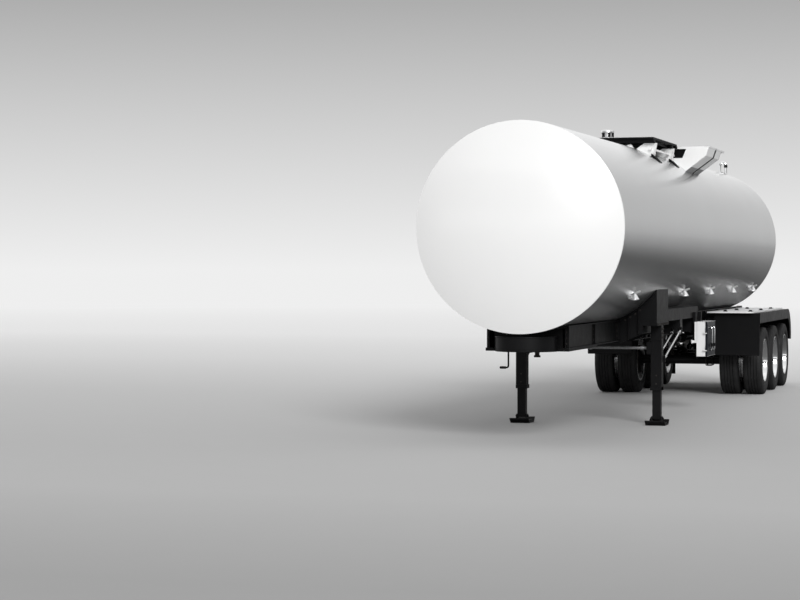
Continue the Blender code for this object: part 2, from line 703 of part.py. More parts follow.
def rear_bay(bay):
    """Where one opening between cross members starts and ends along X, counted from the rear."""
    front = BOLSTER_REAR_X - SEAT_GAP
    pitch = (front - FRAME_REAR_X - CROSSMEMBER) / REAR_BAYS
    start = FRAME_REAR_X + bay * pitch + CROSSMEMBER
    return start, start + pitch - CROSSMEMBER


def make_rear_frame():
    """Two rails and cross members from the bolster to the bumper."""
    low = (FRAME_REAR_X, -FRAME_HALF_WIDTH, FRAME_BOTTOM_Z)
    high = (BOLSTER_REAR_X - SEAT_GAP, FRAME_HALF_WIDTH, FRAME_BOTTOM_Z + RAIL_HEIGHT)
    frame = box("rear_frame", low, high)
    inner = FRAME_HALF_WIDTH - RAIL_WIDTH
    for bay in range(REAR_BAYS):
        start, end = rear_bay(bay)
        cut = box(f"rear_bay_{bay}", (start, -inner, low[2] - CUT_OVERRUN),
                  (end, inner, high[2] + CUT_OVERRUN))
        combine(frame, cut, "DIFFERENCE")
    seat_on_tank(frame)


def make_axle(name, x):
    """A round beam with backing plates and a stub for each pair of wheels."""
    drum_face = DUAL_CENTRE_Y - rim_half_width()
    plate_outer = drum_face - BACKING_GAP
    plate_inner = plate_outer - BACKING_PLATE
    stub_end = DUAL_CENTRE_Y - HUB_GAP
    half = [(0.0, stub_end), (STUB_RADIUS, stub_end), (STUB_RADIUS, plate_outer),
            (BACKING_PLATE_RADIUS, plate_outer), (BACKING_PLATE_RADIUS, plate_inner),
            (AXLE_RADIUS, plate_inner)]
    profile = half + [(radius, -y) for radius, y in reversed(half)]
    axle = turned("axle_" + name, profile, Matrix.Translation((x, 0.0, TYRE_RADIUS)) @ TURN_TO_Y,
                  steps=AXLE_STEPS)
    for side_name, side in SIDES.items():
        join(axle, *brake_chamber(f"{name}_{side_name}", x, side))


def brake_chamber(name, x, side):
    """A round spring brake behind the beam, and the bracket that holds it."""
    z = TYRE_RADIUS + BRAKE_RISE
    near = x - BRAKE_SETBACK
    far = near - BRAKE_LENGTH
    chamber = rod("brake_chamber_" + name, (near, side * BRAKE_Y, z), (far, side * BRAKE_Y, z), BRAKE_RADIUS)
    half = BRAKE_BRACKET / 2
    bracket = side_box("brake_bracket_" + name, (near - half, BRAKE_Y - half, TYRE_RADIUS - half),
                       (x, BRAKE_Y + half, TYRE_RADIUS + half), side)
    return chamber, bracket


def rim_half_width():
    return TYRE_WIDTH + DUAL_GAP / 2 - RIM_LIP


def wheel_profile():
    """Both rims, the dished disc, hub and brake drum, as one turned outline about the axle."""
    half = rim_half_width()
    seat = half - RIM_LIP
    well = half - DISC_DEPTH
    bore = (STUB_RADIUS + HUB_GAP) / math.cos(math.pi / WHEEL_STEPS)
    inside = RIM_RADIUS - RIM_WALL
    drum_back = -DISC_DEPTH
    return [(0.0, well + HUB_CAP_RISE), (HUB_CAP_RADIUS, well + HUB_CAP_RISE),
            (HUB_RADIUS, well + DISC_THICKNESS), (HUB_RADIUS + DISC_THICKNESS, well),
            (RIM_WELL_RADIUS, well), (inside, half), (RIM_LIP_RADIUS, half),
            (RIM_LIP_RADIUS, seat), (RIM_RADIUS, seat),
            (RIM_RADIUS, -seat), (RIM_LIP_RADIUS, -seat),
            (RIM_LIP_RADIUS, -half), (inside, -half), (RIM_WELL_RADIUS, drum_back),
            (DRUM_RADIUS, drum_back), (DRUM_RADIUS, -half), (bore, -half), (bore, 0.0), (0.0, 0.0)]


def tyre_profile():
    """A closed section round the bead, sidewalls, shoulders and tread."""
    half = TYRE_WIDTH / 2
    bead = RIM_RADIUS + SEAT_GAP
    sidewall_radius = (RIM_LIP_RADIUS + TYRE_RADIUS) / 2
    right = [(bead, BEAD_WIDTH / 2), (sidewall_radius, half),
             (TYRE_RADIUS - SHOULDER_DROP, half - SHOULDER_DROP), (TYRE_RADIUS, TREAD_WIDTH / 2)]
    return right + [(radius, -y) for radius, y in reversed(right)]


def make_wheels():
    profile = wheel_profile()
    section = tyre_profile()
    offset = (TYRE_WIDTH + DUAL_GAP) / 2
    for axle, x in AXLE_X.items():
        for name, side in SIDES.items():
            turn = TURN_TO_Y if side > 0 else TURN_TO_MINUS_Y
            hub = Matrix.Translation((x, side * DUAL_CENTRE_Y, TYRE_RADIUS)) @ turn
            turned(f"wheel_{axle}_{name}", profile, hub, "chrome")
            for place_name, shift in (("outer", offset), ("inner", -offset)):
                turned(f"tyre_{axle}_{name}_{place_name}", section,
                       hub @ Matrix.Translation((0.0, 0.0, shift)), "tyre_rubber", closed=True)


def leaf_outline(x, low_z):
    """A spring pack that sags at the axle and rises to the hangers on each side."""
    half = AXLE_PITCH / 2
    stations = [-half + 2 * half * i / LEAF_POINTS for i in range(LEAF_POINTS + 1)]
    lower = [(x + s, low_z + LEAF_SAG * (s / half) ** 2) for s in stations]
    return lower + [(u, v + LEAF_THICKNESS) for u, v in reversed(lower)]


def make_suspension(name, side):
    """Hangers under the rail, joined by one leaf spring for each axle."""
    y = side * (FRAME_HALF_WIDTH - RAIL_WIDTH / 2)
    at_rail = Matrix.Translation((0.0, y, 0.0)) @ PLANE_XZ
    axle_top = TYRE_RADIUS + AXLE_RADIUS + SEAT_GAP
    leaf_z = axle_top + SPRING_SEAT_HEIGHT / 2
    hanger_low = leaf_z + LEAF_SAG - LEAF_THICKNESS / 2
    hanger_top = FRAME_BOTTOM_Z - SEAT_GAP
    springs = []
    for index, x in enumerate(AXLE_X.values()):
        springs.append(plate(f"leaf_{index}_{name}", leaf_outline(x, leaf_z), LEAF_WIDTH, at_rail))
        seat = side_box(f"spring_seat_{index}_{name}",
                        (x - SPRING_SEAT_LENGTH / 2, abs(y) - LEAF_WIDTH / 2, axle_top),
                        (x + SPRING_SEAT_LENGTH / 2, abs(y) + LEAF_WIDTH / 2, axle_top + LEAF_THICKNESS),
                        side)
        springs.append(seat)
    hangers = []
    front = max(AXLE_X.values()) + AXLE_PITCH / 2
    for index in range(len(AXLE_X) + 1):
        x = front - index * AXLE_PITCH
        outline = [(x - HANGER_FOOT / 2, hanger_low), (x + HANGER_FOOT / 2, hanger_low),
                   (x + HANGER_TOP / 2, hanger_top), (x - HANGER_TOP / 2, hanger_top)]
        hangers.append(plate(f"hanger_{index}_{name}", outline, HANGER_WIDTH, at_rail))
    base = hangers.pop(0)
    base.name = "suspension_" + name
    join(base, *springs, *hangers)


def fender_corner(inset):
    centre = (FENDER_REAR_X + FENDER_CORNER, FENDER_TOP_Z - FENDER_CORNER)
    return arc(centre, FENDER_CORNER - inset, 90, 180, CORNER_POINTS)


def make_fender(name, side):
    """Sheet over the three wheels: front panel, top, round rear corner and outer skirt."""
    sheet = FENDER_SHEET
    outer = [(FENDER_FRONT_X, FENDER_FRONT_LOW_Z), (FENDER_FRONT_X, FENDER_TOP_Z)]
    outer += fender_corner(0.0) + [(FENDER_REAR_X, FENDER_REAR_LOW_Z)]
    inner = [(FENDER_REAR_X + sheet, FENDER_REAR_LOW_Z)]
    inner += list(reversed(fender_corner(sheet)))
    inner += [(FENDER_FRONT_X - sheet, FENDER_TOP_Z - sheet), (FENDER_FRONT_X - sheet, FENDER_FRONT_LOW_Z)]
    width = FENDER_OUTER_Y - sheet / 2 - FENDER_INNER_Y
    middle_y = side * (FENDER_INNER_Y + width / 2)
    fender = plate("fender_" + name, outer + inner, width,
                   Matrix.Translation((0.0, middle_y, 0.0)) @ PLANE_XZ, "fender_black")
    bead = FENDER_BEAD
    skirt = [(FENDER_FRONT_X + bead, FENDER_TOP_Z - FENDER_SKIRT),
             (FENDER_FRONT_X + bead, FENDER_TOP_Z + bead)]
    skirt += fender_corner(-bead)
    skirt += [(FENDER_REAR_X - bead, FENDER_REAR_LOW_Z + bead),
              (FENDER_REAR_X + FENDER_SKIRT, FENDER_REAR_LOW_Z + bead)]
    skirt += list(reversed(fender_corner(FENDER_SKIRT)))
    skirt_y = side * (FENDER_OUTER_Y - sheet / 2)
    lip = plate("fender_skirt_" + name, skirt, sheet,
                Matrix.Translation((0.0, skirt_y, 0.0)) @ PLANE_XZ, "fender_black")
    join(fender, lip)
    for index, x in enumerate(FENDER_ARM_X):
        arm = side_box(f"fender_arm_{index}_{name}",
                       (x - FENDER_SHEET * 2, FRAME_HALF_WIDTH + SEAT_GAP, FENDER_TOP_Z - 5 * sheet),
                       (x + FENDER_SHEET * 2, FENDER_INNER_Y + 3 * sheet, FENDER_TOP_Z - sheet / 2), side)
        join(fender, arm)
    side_box("deck_plate_" + name, (DECK_REAR_X, DECK_INNER_Y, FENDER_TOP_Z + SEAT_GAP),
             (DECK_FRONT_X, DECK_OUTER_Y, FENDER_TOP_Z + DECK_PLATE), side, "bright_plate")
    side_box("mud_flap_" + name, (FENDER_REAR_X - SEAT_GAP - FLAP_THICKNESS, FENDER_INNER_Y, FLAP_LOW_Z),
             (FENDER_REAR_X - SEAT_GAP, FLAP_OUTER_Y, FLAP_TOP_Z), side, "flap_rubber")


def make_platform():
    """The walkway plate, its pad on the crown and the gussets that reach the tank's shoulders."""
    low = PLATFORM_TOP_Z - PLATFORM_PLATE
    root = low + PLATFORM_PLATE / 2
    platform = box("walkway_platform", (PLATFORM_REAR_X, -PLATFORM_HALF_WIDTH, low),
                   (PLATFORM_FRONT_X, PLATFORM_HALF_WIDTH, PLATFORM_TOP_Z), "grey_paint")
    pad = box("platform_pad",
              (PLATFORM_REAR_X + CUT_OVERRUN, -PLATFORM_PAD_HALF_WIDTH, TANK_TOP_Z - CUT_OVERRUN),
              (PLATFORM_FRONT_X - CUT_OVERRUN, PLATFORM_PAD_HALF_WIDTH, root))
    join(platform, pad)
    for index, x in enumerate(BRACKET_X):
        for name, side in SIDES.items():
            outline = [(side * BRACKET_TOP_Y[0], root), (side * PLATFORM_HALF_WIDTH, root),
                       (side * BRACKET_TOP_Y[1], BRACKET_TOP_Z),
                       (side * BRACKET_FOOT_Y, tank_surface_z(BRACKET_FOOT_Y, above=True)),
                       (side * (BRACKET_TOP_Y[0] - CUT_OVERRUN), TANK_TOP_Z - 2 * CUT_OVERRUN)]
            gusset = plate(f"gusset_{index}_{name}", outline, BRACKET_THICKNESS,
                           Matrix.Translation((x, 0.0, 0.0)) @ PLANE_YZ)
            join(platform, gusset)
    seat_on_tank(platform)


def spill_section(inset, top_z):
    """The trough's section across the tank, inset by the wall on its inside."""
    half = [(SPILL_TOP[0] - inset, top_z), (SPILL_KNEE[0] - inset, SPILL_KNEE[1]),
            (SPILL_FOOT[0] - inset, SPILL_FOOT[1]),
            (SPILL_FOOT[0] / 2, SPILL_FOOT[1] - 2 * CUT_OVERRUN)]
    return half + [(-y, z) for y, z in reversed(half)]


def make_spill_box():
    """Bent side walls and two end walls, open above, that stand on the tank."""
    length = SPILL_FRONT_X - SPILL_REAR_X
    middle = Matrix.Translation(((SPILL_FRONT_X + SPILL_REAR_X) / 2, 0.0, 0.0)) @ PLANE_YZ
    spill = plate("spill_box", spill_section(0.0, SPILL_TOP[1]), length, middle, "grey_paint")
    hollow = plate("spill_hollow", spill_section(SPILL_WALL, SPILL_TOP[1] + CUT_OVERRUN),
                   length - 2 * SPILL_WALL, middle)
    rim = box("spill_rim", (SPILL_RIM_REAR_X, -SPILL_TOP[0], SPILL_TOP[1] - SPILL_RIM),
              (SPILL_FRONT_X - SPILL_WALL / 2, SPILL_TOP[0], SPILL_TOP[1] + SPILL_RIM / 4))
    rim_hole = box("spill_rim_hole",
                   (SPILL_REAR_X + SPILL_WALL, -SPILL_RIM_INNER_Y, SPILL_TOP[1] - CUT_OVERRUN),
                   (SPILL_FRONT_X - SPILL_WALL, SPILL_RIM_INNER_Y, SPILL_TOP[1] + CUT_OVERRUN))
    combine(spill, hollow, "DIFFERENCE")
    combine(spill, rim)
    combine(spill, rim_hole, "DIFFERENCE")
    for name, side in SIDES.items():
        window = [(side * WINDOW_INNER_Y, WINDOW_Z[0]), (side * WINDOW_OUTER_Y[0], WINDOW_Z[0]),
                  (side * WINDOW_OUTER_Y[1], WINDOW_Z[1]), (side * WINDOW_INNER_Y, WINDOW_Z[1])]
        cut = plate("spill_window_" + name, window, 4 * SPILL_WALL,
                    Matrix.Translation((SPILL_FRONT_X, 0.0, 0.0)) @ PLANE_YZ)
        combine(spill, cut, "DIFFERENCE")
    seat_on_tank(spill)


def make_manhole():
    """A short neck with ears, and a domed lid that hinges on a pin between them."""
    at = Matrix.Translation((MANHOLE_X, 0.0, 0.0))
    low = tank_surface_z(NECK_RADIUS, above=True) - NECK_WALL
    inner = NECK_RADIUS - NECK_WALL
    profile = [(NECK_RADIUS, NECK_TOP_Z), (NECK_RADIUS, low), (inner, low), (inner, NECK_TOP_Z)]
    neck = turned("manhole_neck", profile, at, "bright_plate", LID_STEPS, closed=True)
    pin_x = MANHOLE_X - LID_PIN_OFFSET
    pin_z = NECK_TOP_Z + LID_THICKNESS / 2
    ear_inner = LID_ARM_WIDTH / 2 + EAR_GAP
    for name, side in SIDES.items():
        ear = side_box("lid_ear_" + name,
                       (pin_x - 2 * LID_PIN_RADIUS, ear_inner, NECK_TOP_Z - 5 * LID_PIN_RADIUS),
                       (MANHOLE_X - NECK_RADIUS + NECK_WALL / 2, ear_inner + EAR_THICKNESS,
                        NECK_TOP_Z - 2 * LID_PIN_RADIUS), side)
        tab = side_box("lid_tab_" + name,
                       (pin_x - 2 * LID_PIN_RADIUS, ear_inner, NECK_TOP_Z - 4 * LID_PIN_RADIUS),
                       (pin_x + 2 * LID_PIN_RADIUS, ear_inner + EAR_THICKNESS, pin_z + 2 * LID_PIN_RADIUS),
                       side)
        join(neck, ear, tab)
    pin = rod("lid_pin", (pin_x, -ear_inner - EAR_THICKNESS / 2, pin_z),
              (pin_x, ear_inner + EAR_THICKNESS / 2, pin_z), LID_PIN_RADIUS, "bright_plate", PIN_STEPS)
    join(neck, pin)
    seat_on_tank(neck)
    make_manhole_lid(pin_x, pin_z)


def make_manhole_lid(pin_x, pin_z):
    """The lid is centred on its hinge axis, with a strap that wraps the pin."""
    shift = MANHOLE_X - pin_x
    base = NECK_TOP_Z + SEAT_GAP - pin_z
    radius = NECK_RADIUS + LID_OVERHANG
    profile = [(0.0, base + LID_THICKNESS + LID_DOME), (0.5 * radius, base + LID_THICKNESS + 0.75 * LID_DOME),
               (0.85 * radius, base + LID_THICKNESS), (radius, base + LID_THICKNESS),
               (radius, base), (0.0, base)]
    at_pin = Matrix.Translation((pin_x, 0.0, pin_z))
    disc = turned("lid_disc", profile, at_pin @ Matrix.Translation((shift, 0.0, 0.0)),
                  "bright_plate", LID_STEPS)
    half = LID_ARM_WIDTH / 2
    knuckle = ring("manhole_lid", at_pin @ TURN_TO_Y, 2 * LID_PIN_RADIUS, LID_PIN_RADIUS + PIN_GAP,
                   LID_ARM_WIDTH, "bright_plate")
    strap_half = 0.8 * half
    strap = box("lid_strap", (pin_x + 1.5 * LID_PIN_RADIUS, -strap_half, NECK_TOP_Z + SEAT_GAP),
                (MANHOLE_X - radius / 2, strap_half, NECK_TOP_Z + 0.9 * LID_THICKNESS))
    join(knuckle, strap, disc)


def make_top_fittings():
    """A capped relief vent on the walkway and a bent breather pipe further back."""
    base = PLATFORM_TOP_Z + SEAT_GAP
    height = VENT_TOP_Z - base
    foot, neck, brim = (share * height for share in (VENT_FOOT_SHARE, VENT_NECK_SHARE, VENT_BRIM_SHARE))
    profile = [(0.0, height), (VENT_CROWN_SHARE * VENT_CAP_RADIUS, height), (VENT_CAP_RADIUS, brim),
               (VENT_CAP_RADIUS, neck), (VENT_RADIUS, neck), (VENT_RADIUS, foot),
               (VENT_CAP_RADIUS, foot), (VENT_CAP_RADIUS, 0.0), (0.0, 0.0)]
    turned("relief_vent", profile, Matrix.Translation((VENT_X, 0.0, base)), "bright_plate", VENT_STEPS)
    bend = (BREATHER_Y[1] - BREATHER_Y[0]) / 2
    centre = (BREATHER_Y[0] + bend, BREATHER_TOP_Z - bend)
    low = tank_surface_z(BREATHER_Y[0], above=True) - CUT_OVERRUN
    over = arc(centre, bend, 180, 0, BREATHER_POINTS)
    route = [(BREATHER_Y[0], low)] + over + [(BREATHER_Y[1], BREATHER_END_Z)]
    breather = tube("breather_pipe", [(BREATHER_X, y, z) for y, z in route], BREATHER_RADIUS, "chrome", 2)
    seat_on_tank(breather)


def make_cabinet():
    """A shallow box hung on two straps outside the left side rail, open to its door."""
    outer = CABINET_OUTER_Y
    body_outer = outer - DOOR_THICKNESS - DOOR_GAP
    back = outer - CABINET_DEPTH
    rear = CABINET_FRONT_X - CABINET_LENGTH
    top = CABINET_BOTTOM_Z + CABINET_HEIGHT
    body = box("cabinet_body", (rear, back, CABINET_BOTTOM_Z), (CABINET_FRONT_X, body_outer, top),
               "white_paint")
    wall = CABINET_WALL
    hollow = box("cabinet_hollow", (rear + wall, back + wall, CABINET_BOTTOM_Z + wall),
                 (CABINET_FRONT_X - wall, outer + CUT_OVERRUN, top - wall))
    combine(body, hollow, "DIFFERENCE")
    pad = box("cabinet_pad", (rear, back - CABINET_PAD, CABINET_PAD_Z[0]),
              (CABINET_FRONT_X, back + wall / 2, CABINET_PAD_Z[1]))
    join(body, pad)
    rail_y = BOLSTER_HALF_WIDTH + SEAT_GAP
    for index, x in enumerate((rear + CABINET_LENGTH / 2, CABINET_FRONT_X - STRAP_LENGTH)):
        strap = box(f"cabinet_strap_{index}", (x, rail_y, CABINET_BOTTOM_Z + CABINET_HEIGHT / 2),
                    (x + STRAP_LENGTH, back + CABINET_WALL / 2, SIDE_RAIL_BOTTOM_Z + SIDE_RAIL_HEIGHT / 2))
        join(body, strap)
    pin_x = CABINET_FRONT_X + DOOR_PIN_RADIUS * 2
    pin_y = outer - DOOR_THICKNESS / 2
    for index, z in enumerate(door_knuckle_heights()):
        low = z - DOOR_KNUCKLE / 2
        lug_end = pin_x + 2 * DOOR_PIN_RADIUS
        root_y = body_outer - 2 * CABINET_WALL
        root = box(f"hinge_root_{index}", (CABINET_FRONT_X - CABINET_WALL / 2, root_y, low - CABINET_WALL),
                   (lug_end, root_y + CABINET_WALL, low - PIN_GAP), "white_paint")
        lug = box(f"hinge_lug_{index}", (CABINET_FRONT_X, root_y + CABINET_WALL / 2, low - CABINET_WALL),
                  (lug_end, pin_y + DOOR_PIN_RADIUS, low - PIN_GAP), "white_paint")
        post = rod(f"hinge_post_{index}", (pin_x, pin_y, low - CABINET_WALL / 2),
                   (pin_x, pin_y, low + 0.8 * DOOR_KNUCKLE), DOOR_PIN_RADIUS / 2, "white_paint", PIN_STEPS)
        join(body, root, lug, post)
    make_cabinet_door(pin_x, pin_y, rear, top)


def door_knuckle_heights():
    return [CABINET_BOTTOM_Z + share * CABINET_HEIGHT for share in KNUCKLE_SHARES]


def make_cabinet_door(pin_x, pin_y, rear, top):
    """The door turns on the posts in front of it and carries two upright handles."""
    outer = CABINET_OUTER_Y
    door = box("cabinet_door", (rear, outer - DOOR_THICKNESS, CABINET_BOTTOM_Z),
               (CABINET_FRONT_X - DOOR_GAP, outer, top), "door_black")
    for index, z in enumerate(door_knuckle_heights()):
        knuckle = ring(f"door_knuckle_{index}", Matrix.Translation((pin_x, pin_y, z)), DOOR_PIN_RADIUS,
                       DOOR_PIN_RADIUS / 2 + PIN_GAP / 2, DOOR_KNUCKLE, "door_black")
        leaf_half = 0.4 * DOOR_KNUCKLE
        leaf_thickness = 0.3 * DOOR_PIN_RADIUS
        leaf = box(f"door_leaf_{index}",
                   (CABINET_FRONT_X - 4 * DOOR_GAP, pin_y - leaf_thickness, z - leaf_half),
                   (pin_x - 0.7 * DOOR_PIN_RADIUS, pin_y + leaf_thickness, z + leaf_half))
        join(door, leaf, knuckle)
    middle_z = CABINET_BOTTOM_Z + CABINET_HEIGHT / 2
    half = HANDLE_HEIGHT / 2
    for index, share in enumerate(HANDLE_SHARES):
        x = rear + share * CABINET_LENGTH
        route = [(x, outer - DOOR_THICKNESS / 2, middle_z - half), (x, outer + HANDLE_STAND, middle_z - half),
                 (x, outer + HANDLE_STAND, middle_z + half), (x, outer - DOOR_THICKNESS / 2, middle_z + half)]
        join(door, tube(f"door_handle_{index}", route, HANDLE_RADIUS, "chrome"))


def make_side_ladder():
    """Two tubes up the right side that lean in over the tank's shoulder, with rungs between."""
    side = SIDES["right"]
    top_angle = math.radians(LADDER_TOP_ANGLE)
    bend_angle = math.asin((LADDER_BEND_Z - TANK_AXIS_Z) / TANK_RADIUS)
    reach = TANK_RADIUS + LADDER_CLEAR
    route = [(LADDER_Y, LADDER_FOOT_Z)]
    for i in range(LADDER_BEND_POINTS):
        angle = bend_angle + (top_angle - bend_angle) * i / (LADDER_BEND_POINTS - 1)
        route.append((reach * math.cos(angle), TANK_AXIS_Z + reach * math.sin(angle)))
    half = LADDER_WIDTH / 2
    rails = []
    for index, x in enumerate((LADDER_X - half, LADDER_X + half)):
        points = [(x, side * y, z) for y, z in route]
        rails.append(tube(f"ladder_rail_{index}", points, LADDER_TUBE, "galvanised"))
    ladder = rails[0]
    ladder.name = "side_ladder"
    join(ladder, rails[1])
    for index, (y, z) in enumerate(points_along(route, RUNG_PITCH)):
        rung = rod(f"rung_{index}", (LADDER_X - half, side * y, z), (LADDER_X + half, side * y, z),
                   RUNG_RADIUS, "galvanised", BAR_STEPS)
        join(ladder, rung)
    for index, degrees in enumerate(STAY_ANGLES):
        angle = math.radians(degrees)
        spans = (TANK_RADIUS - LADDER_TUBE, reach if angle > 0 else LADDER_Y / math.cos(angle))
        for x in (LADDER_X - half, LADDER_X + half):
            near, far = [(x, side * r * math.cos(angle), TANK_AXIS_Z + r * math.sin(angle)) for r in spans]
            join(ladder, rod(f"ladder_stay_{index}", near, far, RUNG_RADIUS, "galvanised", BAR_STEPS))
    rail_z = SIDE_RAIL_BOTTOM_Z + SIDE_RAIL_HEIGHT / 2
    for index, x in enumerate((LADDER_X - half, LADDER_X + half)):
        foot_stay = rod(f"ladder_foot_stay_{index}", (x, side * (BOLSTER_HALF_WIDTH + SEAT_GAP), rail_z),
                        (x, side * LADDER_Y, rail_z), RUNG_RADIUS, "galvanised", BAR_STEPS)
        join(ladder, foot_stay)
    seat_on_tank(ladder)


def points_along(route, pitch):
    """Evenly spaced points along a bent line, starting half a pitch in."""
    points = []
    travelled = pitch / 2
    for (y0, z0), (y1, z1) in zip(route, route[1:]):
        length = math.hypot(y1 - y0, z1 - z0)
        while travelled <= length:
            share = travelled / length
            points.append((y0 + share * (y1 - y0), z0 + share * (z1 - z0)))
            travelled += pitch
        travelled -= length
    return points


def make_rear_end():
    """The bumper on its posts and the lamp panel across the frame's end."""
    front = FRAME_REAR_X - SEAT_GAP
    back = front - BUMPER_DEPTH
    bumper = box("rear_bumper", (back, -BUMPER_HALF_WIDTH, BUMPER_Z[0]),
                 (front, BUMPER_HALF_WIDTH, BUMPER_Z[1]))
    post_y = FRAME_HALF_WIDTH - RAIL_WIDTH / 2
    post_back = front - BUMPER_DEPTH / 2
    top = FRAME_BOTTOM_Z + RAIL_HEIGHT
    for name, side in SIDES.items():
        post = side_box("bumper_post_" + name, (post_back, post_y - BUMPER_POST_WIDTH / 2, BUMPER_Z[0]),
                        (front, post_y + BUMPER_POST_WIDTH / 2, top), side)
        join(bumper, post)
    panel_front = post_back - SEAT_GAP
    panel_back = panel_front - LAMP_PANEL_THICKNESS
    panel = box("rear_lamp_panel", (panel_back, -LAMP_PANEL_HALF_WIDTH, LAMP_PANEL_Z[0]),
                (panel_front, LAMP_PANEL_HALF_WIDTH, LAMP_PANEL_Z[1]), "galvanised")
    panel_z = sum(LAMP_PANEL_Z) / 2
    lens_front = panel_front - LAMP_PANEL_THICKNESS / 2
    for index, y in enumerate(TAIL_LAMP_Y):
        for side in SIDES.values():
            lens = rod(f"tail_lamp_{index}", (lens_front, side * y, panel_z),
                       (back, side * y, panel_z), TAIL_LAMP_RADIUS, "galvanised", LENS_STEPS)
            join(panel, lens)


def make_discharge_line():
    """A sump under the tank, the foot valve and the pipe that runs back to a blanked flange."""
    top = TANK_BOTTOM_Z
    valve_top = top - SUMP_HEIGHT
    outlet_x = sum(rear_bay(OUTLET_BAY)) / 2
    at = Matrix.Translation((outlet_x, 0.0, 0.0))
    profile = [(0.0, top + CUT_OVERRUN), (SUMP_RADIUS, top + CUT_OVERRUN),
               (SUMP_RADIUS, top - SUMP_HEIGHT / 3), (VALVE_RADIUS, valve_top),
               (VALVE_RADIUS, PIPE_Z), (0.0, PIPE_Z)]
    line = turned("discharge_line", profile, at, "chassis_black", SUMP_STEPS)
    bend = arc((outlet_x - PIPE_BEND, PIPE_Z + PIPE_BEND), PIPE_BEND, 0, -90, PIPE_BEND_POINTS)
    route = [(outlet_x, PIPE_Z + 1.5 * PIPE_BEND)] + bend + [(PIPE_END_X, PIPE_Z)]
    pipe = tube("discharge_pipe", [(x, 0.0, z) for x, z in route], PIPE_RADIUS, "chassis_black", 3)
    flange = rod("discharge_flange", (PIPE_END_X, 0.0, PIPE_Z), (PIPE_END_X + FLANGE_THICKNESS, 0.0, PIPE_Z),
                 FLANGE_RADIUS, "chassis_black", SUMP_STEPS)
    join(line, pipe, flange)
    seat_on_tank(line)


def shade_round_pieces():
    for obj in PARTS.objects:
        if obj.type == "MESH" and not obj.data.polygons:
            continue
        obj.data.shade_smooth()
        obj.data.set_sharp_from_angle(angle=math.radians(30))


clear_scene()
PARTS = make_collection("tanker_semi_trailer")
CUTTERS = make_collection("cutters")
TANK_SPACE = make_tank_cutter()
make_tank()
make_front_frame()
make_upper_coupler()
make_bolster()
make_landing_gear()
make_rear_frame()
for axle_name, axle_x in AXLE_X.items():
    make_axle(axle_name, axle_x)
make_wheels()
for side_name, side_sign in SIDES.items():
    make_side_rail(side_name, side_sign)
    make_leg_brace(side_name, side_sign)
    make_suspension(side_name, side_sign)
    make_fender(side_name, side_sign)
make_platform()
make_spill_box()
make_manhole()
make_top_fittings()
make_cabinet()
make_side_ladder()
make_rear_end()
make_discharge_line()
shade_round_pieces()
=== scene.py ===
"""Tanker semi-trailer in its finishes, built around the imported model.

Metres. +X runs forward to the kingpin end, +Y to the left, +Z up from the ground.
"""
import json
import math

import bmesh
import bpy
from mathutils import Matrix, Vector

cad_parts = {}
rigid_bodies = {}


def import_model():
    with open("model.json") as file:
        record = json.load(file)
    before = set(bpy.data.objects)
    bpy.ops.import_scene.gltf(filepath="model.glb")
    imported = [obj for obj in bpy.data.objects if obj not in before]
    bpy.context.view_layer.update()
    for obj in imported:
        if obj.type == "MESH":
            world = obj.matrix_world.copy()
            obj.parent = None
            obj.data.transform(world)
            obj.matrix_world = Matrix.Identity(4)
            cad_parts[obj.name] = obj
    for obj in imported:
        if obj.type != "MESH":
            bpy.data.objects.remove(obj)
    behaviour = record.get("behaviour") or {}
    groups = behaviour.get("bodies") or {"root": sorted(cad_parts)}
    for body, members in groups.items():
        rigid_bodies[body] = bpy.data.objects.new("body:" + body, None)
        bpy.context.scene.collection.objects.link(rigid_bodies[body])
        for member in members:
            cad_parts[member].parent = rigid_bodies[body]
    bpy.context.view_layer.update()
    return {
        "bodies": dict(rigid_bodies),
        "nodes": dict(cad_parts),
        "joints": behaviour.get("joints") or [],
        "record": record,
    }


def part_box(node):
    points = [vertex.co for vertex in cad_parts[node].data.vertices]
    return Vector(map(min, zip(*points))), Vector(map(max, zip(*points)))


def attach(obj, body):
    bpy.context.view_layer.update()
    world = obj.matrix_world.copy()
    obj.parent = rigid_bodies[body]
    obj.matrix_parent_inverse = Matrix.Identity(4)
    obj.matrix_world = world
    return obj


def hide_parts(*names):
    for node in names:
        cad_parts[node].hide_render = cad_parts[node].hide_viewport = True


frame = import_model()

NODES = frame["nodes"]
SIDES = {"left": 1.0, "right": -1.0}
AXLES = ("front", "middle", "rear")
TINY = 1e-6
# Gap that stands for a seam between two pieces
SEAM = 0.0003

# Camera fitted to the photograph
CAMERA_AT = (29.1443, 5.4249, 1.8841)
CAMERA_YAW = 196.76
CAMERA_PITCH = -0.82
CAMERA_LENS = 97.85

# Light. Skies are pairs of the sine of the height above the horizon and the light there.
WORLD_LIGHT = 0.55
HORIZON = 0.86
SEEN_SKY = ((0.0, HORIZON), (0.122, 0.42), (1.0, 0.42))
REAR_SKY = ((0.0, 0.44), (0.06, 0.50), (0.16, 0.46), (0.30, 0.50), (0.60, 0.90), (1.0, 1.05))
REAR_BOX_SKY = ((0.0, 0.92), (0.06, 1.06), (0.16, 1.02), (0.30, 0.96), (0.60, 0.98), (1.0, 1.05))
FLAG_SKY = ((0.0, 0.10), (0.30, 0.07), (0.42, 0.60), (1.0, 0.95))
FRONT_SKY = ((0.0, 0.85), (0.08, 1.00), (0.13, 1.10), (0.17, 0.10), (0.44, 0.06), (0.48, 1.20), (1.0, 0.70))
# Where along Y the rear sky gives way to the brighter one on the right
REAR_SPAN = (-0.13, 0.19)
